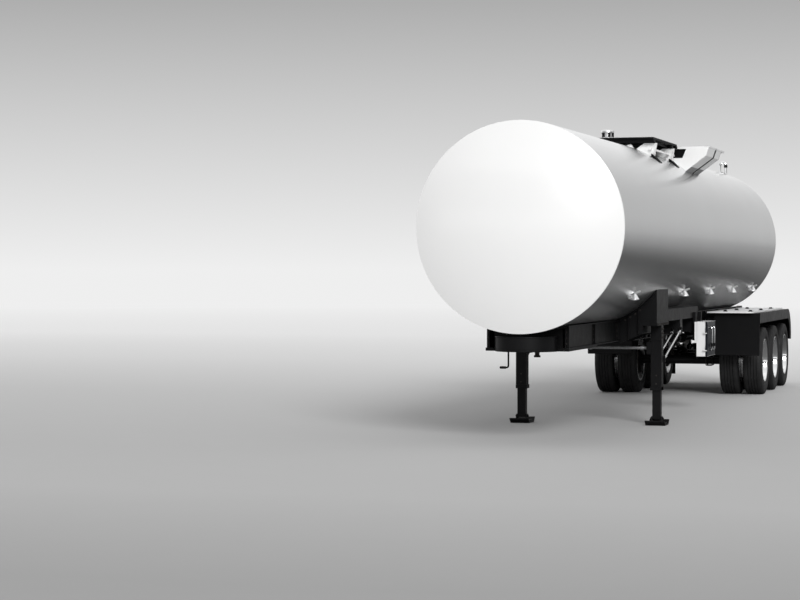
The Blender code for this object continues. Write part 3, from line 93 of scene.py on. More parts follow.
# Where along X each mirrored sky starts and has taken over
FLAG_SPAN = (-0.05, 0.18)
FRONT_SPAN = (0.48, 0.62)
SUN_POWER = 1.93
SUN_FROM = (0.80, 0.40, 0.44)
SUN_SPREAD = 20.0
FLOOR_LIT = 0.70
# The floor's tone as mirrors see it, along X: painted shade, darkest beside and under the object, so that its
# metal mirrors a dark floor
FLOOR_MIRRORED_SHADE = ((-60.0, 0.42), (-30.0, 0.26), (-18.0, 0.11), (-11.0, 0.035), (-8.0, 0.03), (-5.0, 0.20))
# The floor's tone as the camera sees it, from behind the object to in front of it: painted light, lighter
# behind the object and darker in front
FLOOR_SEEN_PAINTED = ((-30.0, 0.92), (-14.0, 0.78), (-2.0, 0.62), (8.0, 0.55), (12.0, 0.55), (17.0, 0.43))
FLOOR_FADE = (30.0, 80.0)


def mixed(tree, share, first, second):
    """A colour between two, in a Mix node whose colour sockets are 6, 7 and output 2."""
    choose = tree.nodes.new("ShaderNodeMix")
    choose.data_type = "RGBA"
    tree.links.new(share, choose.inputs[0])
    for socket, value in ((choose.inputs[6], first), (choose.inputs[7], second)):
        if isinstance(value, tuple):
            socket.default_value = (*value, 1.0)
        else:
            tree.links.new(value, socket)
    return choose.outputs[2]


class Graph:
    """A material's node tree with short names for what it needs."""

    def __init__(self, name):
        self.material = bpy.data.materials.new(name)
        self.material.use_nodes = True
        self.tree = self.material.node_tree
        self.shader = self.tree.nodes["Principled BSDF"]
        self.place = self.node("ShaderNodeTexCoord").outputs["Object"]

    def node(self, kind, **settings):
        made = self.tree.nodes.new(kind)
        for key, value in settings.items():
            setattr(made, key, value)
        return made

    def link(self, source, target):
        self.tree.links.new(source, target)

    def math(self, operation, first, second=None):
        made = self.node("ShaderNodeMath", operation=operation)
        for socket, value in zip(made.inputs, (first, second)):
            if value is None:
                continue
            if isinstance(value, (int, float)):
                socket.default_value = value
            else:
                self.link(value, socket)
        return made.outputs[0]

    def noise(self, scale, detail=4.0, stretch=None, roughness=0.6):
        made = self.node("ShaderNodeTexNoise")
        made.inputs["Scale"].default_value = scale
        made.inputs["Detail"].default_value = detail
        made.inputs["Roughness"].default_value = roughness
        source = self.place
        if stretch:
            mapping = self.node("ShaderNodeMapping")
            mapping.inputs["Scale"].default_value = stretch
            self.link(source, mapping.inputs["Vector"])
            source = mapping.outputs["Vector"]
        self.link(source, made.inputs["Vector"])
        return made.outputs["Fac"]

    def remap(self, source, low, high, to_low, to_high):
        made = self.node("ShaderNodeMapRange")
        for name, value in zip(("From Min", "From Max", "To Min", "To Max"), (low, high, to_low, to_high)):
            made.inputs[name].default_value = value
        self.link(source, made.inputs["Value"])
        return made.outputs["Result"]

    def mix(self, share, first, second):
        return mixed(self.tree, share, first, second)

    def bump(self, height, distance, strength=1.0):
        made = self.node("ShaderNodeBump")
        made.inputs["Distance"].default_value = distance
        made.inputs["Strength"].default_value = strength
        self.link(height, made.inputs["Height"])
        self.link(made.outputs["Normal"], self.shader.inputs["Normal"])

    def paint(self, colour):
        self.link(colour, self.shader.inputs["Base Color"])

    def gloss(self, roughness):
        self.link(roughness, self.shader.inputs["Roughness"])


def scaled(colour, factor):
    return tuple(min(1.0, max(0.0, c * factor)) for c in colour)


def surface(name, colour, metallic, rough, tone=0.12, tone_scale=3.0, spread=0.06, spread_scale=9.0,
            grain=0.0, grain_scale=300.0, stretch=None, coat=0.0, dust=0.0, dust_height=1.1, dirt=None,
            specular=0.5):
    """A finish whose tone, gloss and grain vary over the surface, with road dust low down."""
    graph = Graph(name)
    shader = graph.shader
    shader.inputs["Metallic"].default_value = metallic
    shader.inputs["Specular IOR Level"].default_value = specular
    if coat:
        shader.inputs["Coat Weight"].default_value = coat
        shader.inputs["Coat Roughness"].default_value = 0.08
    patches = graph.noise(tone_scale, 5.0, stretch)
    shade = graph.mix(graph.remap(patches, 0.3, 0.7, 0.0, 1.0),
                      scaled(colour, 1.0 - tone), scaled(colour, 1.0 + tone))
    smudges = graph.noise(spread_scale, 6.0, stretch)
    gloss = graph.remap(smudges, 0.3, 0.7, max(0.02, rough - spread), min(1.0, rough + spread))
    if dust:
        split = graph.node("ShaderNodeSeparateXYZ")
        graph.link(graph.place, split.inputs[0])
        low = graph.remap(split.outputs["Z"], 0.0, dust_height, 1.0, 0.0)
        film = graph.math("MULTIPLY", low, graph.remap(graph.noise(6.0, 8.0), 0.35, 0.7, 0.15, 1.0))
        film = graph.math("MULTIPLY", film, dust)
        shade = graph.mix(film, shade, dirt or (0.16, 0.145, 0.125))
        gloss = graph.math("ADD", gloss, graph.math("MULTIPLY", film, 0.3))
    graph.paint(shade)
    graph.gloss(gloss)
    if grain:
        graph.bump(graph.noise(grain_scale, 3.0, stretch), grain)
    return graph.material


def grit(name, colour):
    """Black anti-slip grit bonded to a plate."""
    graph = Graph(name)
    graph.shader.inputs["Specular IOR Level"].default_value = 0.08
    grains = graph.node("ShaderNodeTexVoronoi")
    grains.inputs["Scale"].default_value = 620.0
    graph.link(graph.place, grains.inputs["Vector"])
    worn = graph.remap(graph.noise(7.0, 8.0), 0.45, 0.75, 0.0, 1.0)
    graph.paint(graph.mix(worn, colour, scaled(colour, 2.2)))
    graph.gloss(graph.remap(graph.noise(20.0, 4.0), 0.3, 0.7, 0.85, 0.97))
    graph.bump(grains.outputs["Distance"], 0.0005)
    return graph.material


def spangled(name, colour):
    """Galvanised steel with its flat crystals."""
    graph = Graph(name)
    graph.shader.inputs["Metallic"].default_value = 0.85
    cells = graph.node("ShaderNodeTexVoronoi")
    cells.inputs["Scale"].default_value = 70.0
    graph.link(graph.place, cells.inputs["Vector"])
    split = graph.node("ShaderNodeSeparateXYZ")
    graph.link(cells.outputs["Color"], split.inputs[0])
    graph.paint(graph.mix(split.outputs["X"], scaled(colour, 0.82), scaled(colour, 1.15)))
    graph.gloss(graph.remap(split.outputs["Y"], 0.0, 1.0, 0.34, 0.56))
    graph.bump(graph.noise(260.0, 3.0), 0.0003)
    return graph.material


def lens(name, colour, glow=0.0):
    """Moulded lamp lens with a fine grid of prisms behind a clear face."""
    graph = Graph(name)
    shader = graph.shader
    shader.inputs["Coat Weight"].default_value = 1.0
    shader.inputs["Coat Roughness"].default_value = 0.04
    shader.inputs["Emission Color"].default_value = (*colour, 1.0)
    shader.inputs["Emission Strength"].default_value = glow
    cells = graph.node("ShaderNodeTexVoronoi", distance="CHEBYCHEV")
    cells.inputs["Scale"].default_value = 160.0
    cells.inputs["Randomness"].default_value = 0.0
    graph.link(graph.place, cells.inputs["Vector"])
    depth = cells.outputs["Distance"]
    share = graph.remap(depth, 0.0, 0.7, 0.0, 1.0)
    graph.paint(graph.mix(share, scaled(colour, 1.15), scaled(colour, 0.6)))
    graph.gloss(graph.remap(depth, 0.0, 0.7, 0.12, 0.3))
    graph.bump(depth, 0.0006)
    return graph.material


MATERIALS = {
    "tank_aluminium": surface("tank_aluminium", (0.78, 0.785, 0.79), 1.0, 0.235, tone=0.008, tone_scale=0.6,
                              spread=0.012, spread_scale=1.2, grain=0.00001, grain_scale=90.0),
    "white_paint": surface("white_paint", (0.86, 0.86, 0.857), 0.0, 0.34, tone=0.008, tone_scale=1.2,
                           spread=0.03, grain=0.00001, coat=0.4),
    "grey_paint": surface("grey_paint", (0.60, 0.605, 0.61), 0.0, 0.42, tone=0.03, tone_scale=4.0,
                          spread=0.06, grain=0.00004, coat=0.2),
    # Pale grey-white for the spill box's bands: painted light that makes up for the shade on their downward
    # slope
    "painted_light_pale": surface("painted_light_pale", (0.90, 0.90, 0.90), 0.0, 0.36, tone=0.01, spread=0.03, coat=0.3),
    # Dark grey for the spill box's band feet: painted shade at the bottom of the bands by the tank
    "painted_shade_foot": surface("painted_shade_foot", (0.26, 0.263, 0.268), 0.0, 0.45, tone=0.06, grain=0.00006),
    "chassis_black": surface("chassis_black", (0.006, 0.006, 0.0065), 0.0, 0.42, tone=0.12, tone_scale=3.0,
                             spread=0.05, grain=0.00004, grain_scale=240.0, dust=0.012, specular=0.14),
    "fender_black": surface("fender_black", (0.006, 0.006, 0.0065), 0.0, 0.38, tone=0.10, tone_scale=3.0,
                            spread=0.05, grain=0.00003, grain_scale=320.0, dust=0.01, specular=0.14),
    # Near-black with little gloss, for painted shade: the walkway deck and its beams, the pads at the gusset
    # feet, the spill box's seams and the lining behind its windows
    "painted_shade_black": surface("painted_shade_black", (0.0035, 0.0035, 0.004), 0.0, 0.55, tone=0.1, spread=0.05,
                          grain=0.00004, specular=0.08),
    "door_black": surface("door_black", (0.008, 0.010, 0.014), 0.0, 0.30, tone=0.10, spread=0.05,
                          grain=0.00003, specular=0.16),
    "bright_plate": surface("bright_plate", (0.84, 0.845, 0.85), 1.0, 0.28, tone=0.05, spread=0.06,
                            grain=0.00005, grain_scale=180.0),
    "grit": grit("grit", (0.030, 0.030, 0.031)),
    # Near-white and hardly metallic: the ribs' bright metal, made white in their colour as a painted sheen
    "rib_painted_sheen": surface("rib_painted_sheen", (0.93, 0.932, 0.935), 0.15, 0.36, tone=0.02, spread=0.05),
    "chrome": surface("chrome", (0.88, 0.885, 0.89), 1.0, 0.09, tone=0.02, spread=0.03, grain=0.00001),
    "lamp_silver": surface("lamp_silver", (0.90, 0.902, 0.905), 0.82, 0.30, tone=0.02, spread=0.04),
    "tyre_rubber": surface("tyre_rubber", (0.014, 0.014, 0.0145), 0.0, 0.70, tone=0.25, tone_scale=11.0,
                           spread=0.12, grain=0.0003, grain_scale=420.0, specular=0.35),
    "flap_rubber": surface("flap_rubber", (0.012, 0.012, 0.012), 0.0, 0.62, tone=0.2, spread=0.1,
                           grain=0.0002, dust=0.12, dust_height=1.0, specular=0.35),
    "galvanised": spangled("galvanised", (0.45, 0.455, 0.46)),
    "cast_iron": surface("cast_iron", (0.03, 0.026, 0.024), 0.4, 0.62, tone=0.35, tone_scale=18.0,
                         spread=0.12, grain=0.0008, grain_scale=140.0, dust=0.08),
    "red_lens": lens("red_lens", (0.42, 0.008, 0.006)),
    "amber_lens": lens("amber_lens", (0.75, 0.20, 0.01)),
    "clear_lens": lens("clear_lens", (0.86, 0.87, 0.88), 0.15),
    "red_tape": surface("red_tape", (0.45, 0.01, 0.01), 0.0, 0.3, grain=0.0001, grain_scale=700.0,
                        coat=0.6),
    "white_tape": surface("white_tape", (0.80, 0.80, 0.80), 0.0, 0.3, grain=0.0001, grain_scale=700.0,
                          coat=0.6),
}


class Shape:
    """Solids gathered in one mesh, in the row frame."""

    def __init__(self):
        self.bm = bmesh.new()

    def skin(self, rings, closed=False, capped=False):
        """Faces between rings of points. A ring of one point is a pole."""
        made = [[self.bm.verts.new(point) for point in ring] for ring in rings]
        pairs = list(zip(made, made[1:]))
        if closed:
            pairs.append((made[-1], made[0]))
        for one, two in pairs:
            for k in range(max(len(one), len(two))):
                corners = (one[k % len(one)], one[(k + 1) % len(one)],
                           two[(k + 1) % len(two)], two[k % len(two)])
                corners = list(dict.fromkeys(corners))
                if len(corners) > 2:
                    self.bm.faces.new(corners)
        if capped:
            self.bm.faces.new(made[0])
            self.bm.faces.new(made[-1])
        return self

    def box(self, low, high, side=1.0):
        (x0, y0, z0), (x1, y1, z1) = low, high
        ring = ((x0, side * y0), (x1, side * y0), (x1, side * y1), (x0, side * y1))
        return self.skin([[(x, y, z) for x, y in ring] for z in (z0, z1)], capped=True)

    def lathe(self, profile, at, steps=48, closed=False):
        """Radius and height pairs turned about local Z. A third value notches every fourth step."""
        rings = []
        for radius, height, *notch in profile:
            if radius < TINY:
                rings.append([at @ Vector((0.0, 0.0, height))])
                continue
            ring = []
            for k in range(steps):
                reach = radius - (notch[0] if notch and k % 4 == 0 else 0.0)
                angle = 2 * math.pi * k / steps
                ring.append(at @ Vector((reach * math.cos(angle), reach * math.sin(angle), height)))
            rings.append(ring)
        return self.skin(rings, closed)

    def prism(self, outline, at, depth):
        """A flat outline in the local XY plane, made `depth` thick about it."""
        rings = [[at @ Vector((x, y, z)) for x, y in outline] for z in (-depth / 2, depth / 2)]
        return self.skin(rings, capped=True)

    def tube(self, points, radius, steps=14):
        """A round bar along the points."""
        points = [Vector(point) for point in points]
        rings = []
        normal = None
        for i, point in enumerate(points):
            after = (points[min(i + 1, len(points) - 1)] - point)
            before = (point - points[max(i - 1, 0)])
            tangent = (before.normalized() + after.normalized()).normalized()
            if normal is None:
                normal = tangent.orthogonal()
            normal = (normal - tangent * normal.dot(tangent)).normalized()
            side = tangent.cross(normal)
            turns = [2 * math.pi * k / steps for k in range(steps)]
            rings.append([point + radius * (normal * math.cos(a) + side * math.sin(a)) for a in turns])
        return self.skin(rings, capped=True)

    def rod(self, start, end, radius, steps=16):
        return self.tube((start, end), radius, steps)

    def bar(self, x, half, across, heights, side=1.0):
        """A box centred on x, between two places across and two heights."""
        return self.box((x - half, across[0], heights[0]), (x + half, across[1], heights[1]), side)

    def slab(self, outline, x, depth, side=1.0):
        """An outline in Y and Z, mirrored for its side, made `depth` thick about x."""
        return self.prism([(side * y, z) for y, z in outline], move(x) @ PLANE_YZ, depth)

    def plate(self, outline, y, depth):
        """An outline in X and Z, made `depth` thick about y."""
        return self.prism(outline, move(0.0, y) @ PLANE_XZ, depth)

    def disc(self, radius, start, end, at, steps=24):
        """A plain round plate between two heights."""
        return self.lathe([(0.0, start), (radius, start), (radius, end), (0.0, end)], at, steps)

    def band(self, inner, outer, start, end, at, steps=24):
        """A plain ring between two heights."""
        profile = [(inner, start), (outer, start), (outer, end), (inner, end)]
        return self.lathe(profile, at, steps, closed=True)

    def bolt(self, at, direction, radius=0.012, height=0.010, washer=True):
        """A hexagon head on its washer, standing on the point."""
        turn = Vector(direction).to_track_quat("Z", "X").to_matrix().to_4x4()
        place = Matrix.Translation(at) @ turn
        if washer:
            self.disc(1.45 * radius, -0.001, 0.2 * height, place, 18)
        head = [(0, 0), (radius, 0), (radius, 0.86 * height), (0.86 * radius, height), (0, height)]
        self.lathe(head, place, 6)
        return self

    def bolts(self, spots, direction, radius, height):
        """The same bolt on each spot."""
        for spot in spots:
            self.bolt(spot, direction, radius, height)
        return self

    def build(self, name, slot, finish=None, bevel=0.0, sharp=35.0, replaces=(), body="trailer"):
        bmesh.ops.recalc_face_normals(self.bm, faces=self.bm.faces)
        mesh = bpy.data.meshes.new(name)
        self.bm.to_mesh(mesh)
        self.bm.free()
        return add_piece(mesh, name, body, slot, finish, bevel, sharp, replaces)


def add_piece(mesh, name, body, slot, finish=None, bevel=0.0, sharp=35.0, replaces=()):
    obj = bpy.data.objects.new(name, mesh)
    bpy.context.scene.collection.objects.link(obj)
    mesh.materials.clear()
    mesh.materials.append(MATERIALS[finish or slot])
    mesh.shade_smooth()
    mesh.set_sharp_from_angle(angle=math.radians(sharp))
    if bevel:
        edge = obj.modifiers.new("edges", "BEVEL")
        edge.width = bevel
        edge.segments = 2
        edge.limit_method = "ANGLE"
        edge.angle_limit = math.radians(40)
        edge.harden_normals = True
    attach(obj, body)
    if replaces:
        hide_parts(*replaces)
    return obj


def move(x=0.0, y=0.0, z=0.0):
    return Matrix.Translation((x, y, z))


ALONG_X = Matrix(((0, 0, 1), (0, 1, 0), (-1, 0, 0))).to_4x4()
ALONG_MINUS_X = Matrix(((0, 0, -1), (0, 1, 0), (1, 0, 0))).to_4x4()
ALONG_Y = Matrix(((1, 0, 0), (0, 0, 1), (0, -1, 0))).to_4x4()
ALONG_MINUS_Y = Matrix(((1, 0, 0), (0, 0, -1), (0, 1, 0))).to_4x4()
# Outlines drawn in X and Z, or in Y and Z
PLANE_XZ = Matrix(((1, 0, 0), (0, 0, -1), (0, 1, 0))).to_4x4()
PLANE_YZ = Matrix(((0, 0, 1), (1, 0, 0), (0, 1, 0))).to_4x4()


def arc(centre, radius, start, end, count):
    """Points of an arc in a plane, in degrees, both ends included."""
    angles = [math.radians(start + (end - start) * i / (count - 1)) for i in range(count)]
    return [(centre[0] + radius * math.cos(a), centre[1] + radius * math.sin(a)) for a in angles]


def bend(points, radius, count=6):
    """The same route with each inner corner rounded."""
    points = [Vector(point) for point in points]
    route = [points[0]]
    for before, corner, after in zip(points, points[1:], points[2:]):
        start = corner + (before - corner).normalized() * radius
        end = corner + (after - corner).normalized() * radius
        for i in range(count + 1):
            t = i / count
            route.append(start * (1 - t) ** 2 + corner * 2 * t * (1 - t) + end * t ** 2)
    return route + [points[-1]]


def spaced(start, end, count):
    return [start + (end - start) * i / (count - 1) for i in range(count)]


def circle(centre, radius, count, first, axes=(0, 1)):
    """Evenly spaced points round a centre, the first at an angle in degrees, in the plane of two axes."""
    points = []
    for k in range(count):
        angle = math.radians(first + 360 * k / count)
        point = list(centre)
        point[axes[0]] += radius * math.cos(angle)
        point[axes[1]] += radius * math.sin(angle)
        points.append(point)
    return points


# Tank
TANK_RADIUS = 1.132
TANK_AXIS_Z = 2.326
TANK_STEPS = 160
WELD_WIDTH = 0.004
WELD_HEIGHT = 0.0005
WELD_APART = 0.010
COURSES = 6
HEAD_SKIRT = 0.030
HEAD_RINGS = 24


def tank_z(y, above=False):
    rise = math.sqrt(TANK_RADIUS ** 2 - y ** 2)
    return TANK_AXIS_Z + (rise if above else -rise)


def on_crown(stations, lift=0.0):
    """Points on the tank's upper side at some places across, lifted off it."""
    return [(y, tank_z(y, True) + lift) for y in stations]


def make_tank():
    """The round shell with the welds between its courses, and the two dished heads."""
    low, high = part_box("tank_barrel")
    rear, front = low.x, high.x
    profile = [(0.0, rear), (TANK_RADIUS, rear)]
    for x in spaced(rear, front, COURSES + 1)[1:-1]:
        profile += [(TANK_RADIUS, x - WELD_APART), (TANK_RADIUS, x - WELD_WIDTH),
                    (TANK_RADIUS + WELD_HEIGHT, x - WELD_WIDTH / 3),
                    (TANK_RADIUS + WELD_HEIGHT, x + WELD_WIDTH / 3),
                    (TANK_RADIUS, x + WELD_WIDTH), (TANK_RADIUS, x + WELD_APART)]
    profile += [(TANK_RADIUS, front), (0.0, front)]
    shell = Shape().lathe(profile, move(z=TANK_AXIS_Z) @ ALONG_X, TANK_STEPS)
    shell.build("tank_shell", "tank_aluminium", replaces=("tank_barrel",))
    for node, turn, face in (("tank_front_head", ALONG_X, 0), ("tank_rear_head", ALONG_MINUS_X, 1)):
        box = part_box(node)
        depth = box[1].x - box[0].x
        dish = depth - HEAD_SKIRT
        crown = (TANK_RADIUS ** 2 + dish ** 2) / (2 * dish)
        half = math.asin(TANK_RADIUS / crown)
        head = []
        for i in range(HEAD_RINGS + 1):
            angle = half * i / HEAD_RINGS
            head.append((crown * math.sin(angle), depth - crown * (1 - math.cos(angle))))
        head += [(TANK_RADIUS, 0.0), (0.0, 0.0)]
        Shape().lathe(head, move(box[face].x, 0.0, TANK_AXIS_Z) @ turn, TANK_STEPS).build(
            node + "_skin", "white_paint", replaces=(node,))


# Side lamps
LAMP_X = (4.90, 1.44, -0.74, -2.93, -5.12)
LAMP_Y = 0.888
LAMP_Z = 1.540
BELL = ((0.0, 0.077), (0.010, 0.076), (0.016, 0.070), (0.019, 0.062), (0.026, 0.048), (0.036, 0.030),
        (0.046, 0.012), (0.052, 0.004), (0.053, 0.0), (0.050, -0.001), (0.0, -0.001))
LAMP_FIN = ((-0.010, -0.012), (0.014, -0.012), (0.064, 0.008), (0.062, 0.030), (0.004, 0.012),
            (-0.014, 0.004))
LAMP_LENS = ((0.0, -0.012), (0.022, -0.010), (0.038, -0.005), (0.046, 0.0), (0.0, 0.002))


def make_side_lamps():
    for name, side in SIDES.items():
        bells = Shape()
        glass = Shape()
        for x in LAMP_X:
            at = move(x, side * LAMP_Y, LAMP_Z)
            bells.lathe(BELL, at, 32)
            glass.lathe(LAMP_LENS, at, 32)
            bells.slab([(LAMP_Y + y, LAMP_Z + 0.072 + z) for y, z in LAMP_FIN], x, 0.030, side)
            root = math.sqrt(TANK_RADIUS ** 2 - (TANK_AXIS_Z - LAMP_Z - 0.030) ** 2)
            bells.bar(x, 0.012, (root - 0.02, LAMP_Y), (LAMP_Z + 0.018, LAMP_Z + 0.042), side)
            bells.bar(x, 0.024, (root - 0.02, root + 0.012), (LAMP_Z + 0.004, LAMP_Z + 0.052), side)
        bells.build("side_lamp_bells_" + name, "chrome", "lamp_silver", bevel=0.002)
        glass.build("side_lamp_glass_" + name, "chrome", "clear_lens")


# Walkway
DECK_HALF = 0.630
DECK_SHEET = 0.030
DECK_TRIM = 0.004
CLEAT_PITCH = 0.040
GUSSET_X = (2.200, 0.900)
GUSSET_Y = (0.500, 0.662)
GUSSET_FOOT_Y = 0.630
GUSSET_SHEET = 0.012
FLANGE = 0.060
DECK_BORDER = 0.014
# Foot of the black channels under the deck, painted shade above the tank
BEAM_FOOT_Z = 3.432
REST_BAR = ((0.575, 0.597), (3.370, 3.394))


def make_walkway():
    """A deck on beams, both black as painted shade for the walkway's dark underside, with a thin bright trim
    and cleats, on light gussets.
    """
    low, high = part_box("walkway_platform")
    top = high.z
    under = top - DECK_SHEET
    beam = under - 0.045
    deck = Shape().box((low.x, -DECK_HALF, under), (high.x, DECK_HALF, top - DECK_TRIM))
    for x in (*GUSSET_X, low.x + 0.05, high.x - 0.05):
        deck.bar(x, 0.028, (-0.640, 0.640), (beam, under + 0.001))
    # A box and channels under the deck in the same black: painted shade in the gap above the tank
    deck.box((low.x + 0.05, -0.150, under - 0.040), (high.x - 0.05, 0.150, under))
    for side in SIDES.values():
        deck.box((low.x + 0.04, 0.250, BEAM_FOOT_Z), (high.x - 0.04, 0.262, under), side)
        deck.box((low.x + 0.04, 0.250, BEAM_FOOT_Z), (high.x - 0.04, 0.300, BEAM_FOOT_Z + 0.008), side)
        deck.box((low.x + 0.02, 0.560, beam + 0.008), (high.x - 0.02, 0.572, under), side)
    deck.build("walkway_deck", "grey_paint", "painted_shade_black", bevel=0.002,
               replaces=("walkway_platform",))
    trim = Shape()
    foot = top - DECK_TRIM
    edge = DECK_HALF - DECK_BORDER
    for side in SIDES.values():
        trim.box((low.x, edge, foot), (high.x, DECK_HALF, top), side)
    for x in (low.x, high.x - DECK_BORDER):
        trim.box((x, -edge, foot), (x + DECK_BORDER, edge, top))
    count = int((high.x - low.x) / CLEAT_PITCH)
    for x in spaced(low.x + 0.04, high.x - 0.04, count):
        trim.bar(x, 0.003, (-edge, edge), (foot - 0.001, top - 0.001))
    for y in spaced(-DECK_HALF + 0.08, DECK_HALF - 0.08, 9):
        trim.box((low.x + DECK_BORDER, y - 0.003, foot - 0.001),
                 (high.x - DECK_BORDER, y + 0.003, top - 0.0015))
    trim.build("walkway_grating", "grey_paint", "bright_plate")
    gussets = Shape()
    shade_pads = Shape()
    for x in GUSSET_X:
        for side in SIDES.values():
            outline = [(GUSSET_Y[0], beam), (GUSSET_Y[1], beam)]
            outline += on_crown((GUSSET_FOOT_Y, 0.560, 0.480, 0.400))
            gussets.slab(outline, x, GUSSET_SHEET, side)
            flange = [(GUSSET_Y[1] - 0.008, beam), (GUSSET_Y[1], beam)]
            flange += on_crown((GUSSET_FOOT_Y, GUSSET_FOOT_Y - 0.009))
            gussets.slab(flange, x, FLANGE, side)
            inner = [(0.270, beam - 0.012), (0.340, beam - 0.012)] + on_crown((0.370, 0.240))
            gussets.slab(inner, x, FLANGE, side)
            # Black pads on the crown at each gusset foot: painted shade under the gussets
            pad = on_crown(spaced(0.600, 0.715, 6), -0.002) + on_crown((0.715,), 0.010)
            shade_pads.slab(pad + on_crown((0.628, 0.600), 0.036), x, 0.150, side)
            gussets.bolts([(x + GUSSET_SHEET / 2, side * y, beam - 0.022) for y in (0.540, 0.620)],
                          (1, 0, 0), 0.008, 0.007)
    for side in SIDES.values():
        (near, far), (foot, head) = REST_BAR
        gussets.box((GUSSET_X[1] - 0.40, near, foot), (GUSSET_X[0] + 0.06, far, head), side)
    gussets.build("walkway_gussets", "grey_paint", "white_paint", bevel=0.0015)
    shade_pads.build("walkway_shade_pads", "grey_paint", "painted_shade_black", bevel=0.001)


# Spill box
SPILL_TOP = (1.050, 3.500)
SPILL_KNEE = (1.010, 3.380)
SPILL_FOOT = (0.740, 3.180)
SPILL_WINDOW = (((0.560, 3.350), (0.560, 3.470)), ((0.700, 3.350), (0.750, 3.470)))
SPILL_BANDS = ((-0.60, -0.205), (-0.085, 0.50))
# Width of the black strip between the bands, painted shade in the gap between them
SPILL_SEAM = 0.120
SPILL_LIFT = 0.004
SPILL_FRONT_X = 0.5
SPILL_GAP = 0.002
# Share of each band, from its foot, painted dark as shade by the tank
PAINTED_SHADE_SHARE = 0.28


def offset_line(line, reach):
    """A bent line moved outward, square to each of its pieces."""
    moved = []
    for k, point in enumerate(line):
        runs = [(line[j + 1][0] - line[j][0], line[j + 1][1] - line[j][1])
                for j in (k - 1, k) if 0 <= j < len(line) - 1]
        normals = [Vector((-v, u)).normalized() for u, v in runs]
        normal = sum(normals, Vector((0.0, 0.0))).normalized()
        lean = normal.dot(normals[0])
        moved.append((point[0] + normal.x * reach / lean, point[1] + normal.y * reach / lean))
    return moved


def make_spill_box():
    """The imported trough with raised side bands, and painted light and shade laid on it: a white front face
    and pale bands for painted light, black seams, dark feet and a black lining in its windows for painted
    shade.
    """
    line = [SPILL_FOOT, SPILL_KNEE, SPILL_TOP]
    outer = offset_line(line, -SPILL_LIFT)
    # The lowest part of the band line, painted dark as shade
    painted_shade_foot = [line[0], tuple(line[0][i] + PAINTED_SHADE_SHARE * (line[1][i] - line[0][i]) for i in (0, 1))]
    shade_foot_outer = offset_line(painted_shade_foot, -SPILL_LIFT - 0.0012)
    bands = Shape()
    shade_seams = Shape()
    feet = Shape()
    shade_lining = Shape()
    front = Shape()
    (low_in, high_in), (low_out, high_out) = SPILL_WINDOW
    top_in, top_out = (high_in[0], SPILL_TOP[1]), (high_out[0], SPILL_TOP[1])
    outer_part = [low_out, high_out, top_out, SPILL_TOP, SPILL_KNEE, SPILL_FOOT]
    outer_part += on_crown(spaced(SPILL_FOOT[0], low_out[0], 3), SPILL_GAP)
    sill = [low_in, low_out] + on_crown(spaced(low_out[0], low_in[0], 4), SPILL_GAP)
    head = [high_in, high_out, top_out, top_in]
    inner_part = [low_in, top_in, (0.0, SPILL_TOP[1])] + on_crown(spaced(0.0, low_in[0], 6), SPILL_GAP)
    for side in SIDES.values():
        # The front sheets are white, painted light on the face toward the lamp, whiter than the grey trough
        for outline in (outer_part, sill, head, inner_part):
            front.slab(outline, SPILL_FRONT_X + 0.0015, 0.003, side)
        for start, end in SPILL_BANDS:
            bands.slab(line + outer[::-1], (start + end) / 2, end - start - 0.012, side)
            feet.slab(painted_shade_foot + shade_foot_outer[::-1], (start + end) / 2, end - start - 0.014, side)
        # Black strips between the bands and at their front edge: painted shade in the gaps
        seam = line + offset_line(line, -SPILL_LIFT * 0.4)[::-1]
        middle = (SPILL_BANDS[0][1] + SPILL_BANDS[1][0]) / 2
        for x, width in ((middle, SPILL_SEAM + 0.012), (SPILL_BANDS[0][0] - 0.010, 0.030)):
            shade_seams.slab(seam, x, width, side)
        # A black sheet behind each window: painted shade inside the trough
        window = [low_in, low_out, high_out, high_in]
        shade_lining.slab(window, SPILL_FRONT_X - 0.0235, 0.006, side)
        bands.bolts([(SPILL_FRONT_X, side * y, SPILL_TOP[1] - 0.011) for y in spaced(0.58, 0.98, 5)],
                    (1, 0, 0), 0.006, 0.005)
    front.build("spill_box_painted_light_front", "grey_paint", "white_paint")
    # The bands are paler than the trough: painted light against the shade on their slope
    bands.build("spill_box_bands", "grey_paint", "painted_light_pale", bevel=0.001)
    shade_seams.build("spill_box_shade_seams", "grey_paint", "painted_shade_black")
    feet.build("spill_box_shade_feet", "grey_paint", "painted_shade_foot")
    shade_lining.build("spill_box_shade_lining", "grey_paint", "painted_shade_black")


MANHOLE_X = -0.050
LID_Z = 3.5503
LID_PIN = (-0.350, 3.560)
LID_DOME = ((0.0, 0.0), (0.246, 0.0), (0.250, 0.004), (0.250, 0.016), (0.244, 0.020), (0.215, 0.021),
            (0.200, 0.028), (0.150, 0.040), (0.080, 0.047), (0.0, 0.0495))


def make_manhole():
    """The domed lid with its hinge strap, clamp bolts and handle."""
    lid = Shape().lathe(LID_DOME, move(MANHOLE_X, 0.0, LID_Z), 64)
    for reach, low, high in ((0.16, 0.001, 0.018), (0.215, 0.014, 0.024)):
        lid.box((LID_PIN[0] + 0.015, -0.020, LID_Z + low), (MANHOLE_X - reach, 0.020, LID_Z + high))
    lid.band(0.011, 0.020, -0.025, 0.025, move(LID_PIN[0], 0.0, LID_PIN[1]) @ ALONG_Y, 32)
    lid.bolts(circle((MANHOLE_X, 0.0, LID_Z + 0.019), 0.226, 6, 30), (0, 0, 1), 0.011, 0.014)
    grip = [(MANHOLE_X + 0.12, y, LID_Z + z)
            for y, z in ((-0.06, 0.040), (-0.06, 0.044), (0.06, 0.044), (0.06, 0.040))]
    lid.tube(bend(grip, 0.001), 0.005)
    lid.build("manhole_cover", "bright_plate", bevel=0.001, replaces=("manhole_lid",), body="lid")


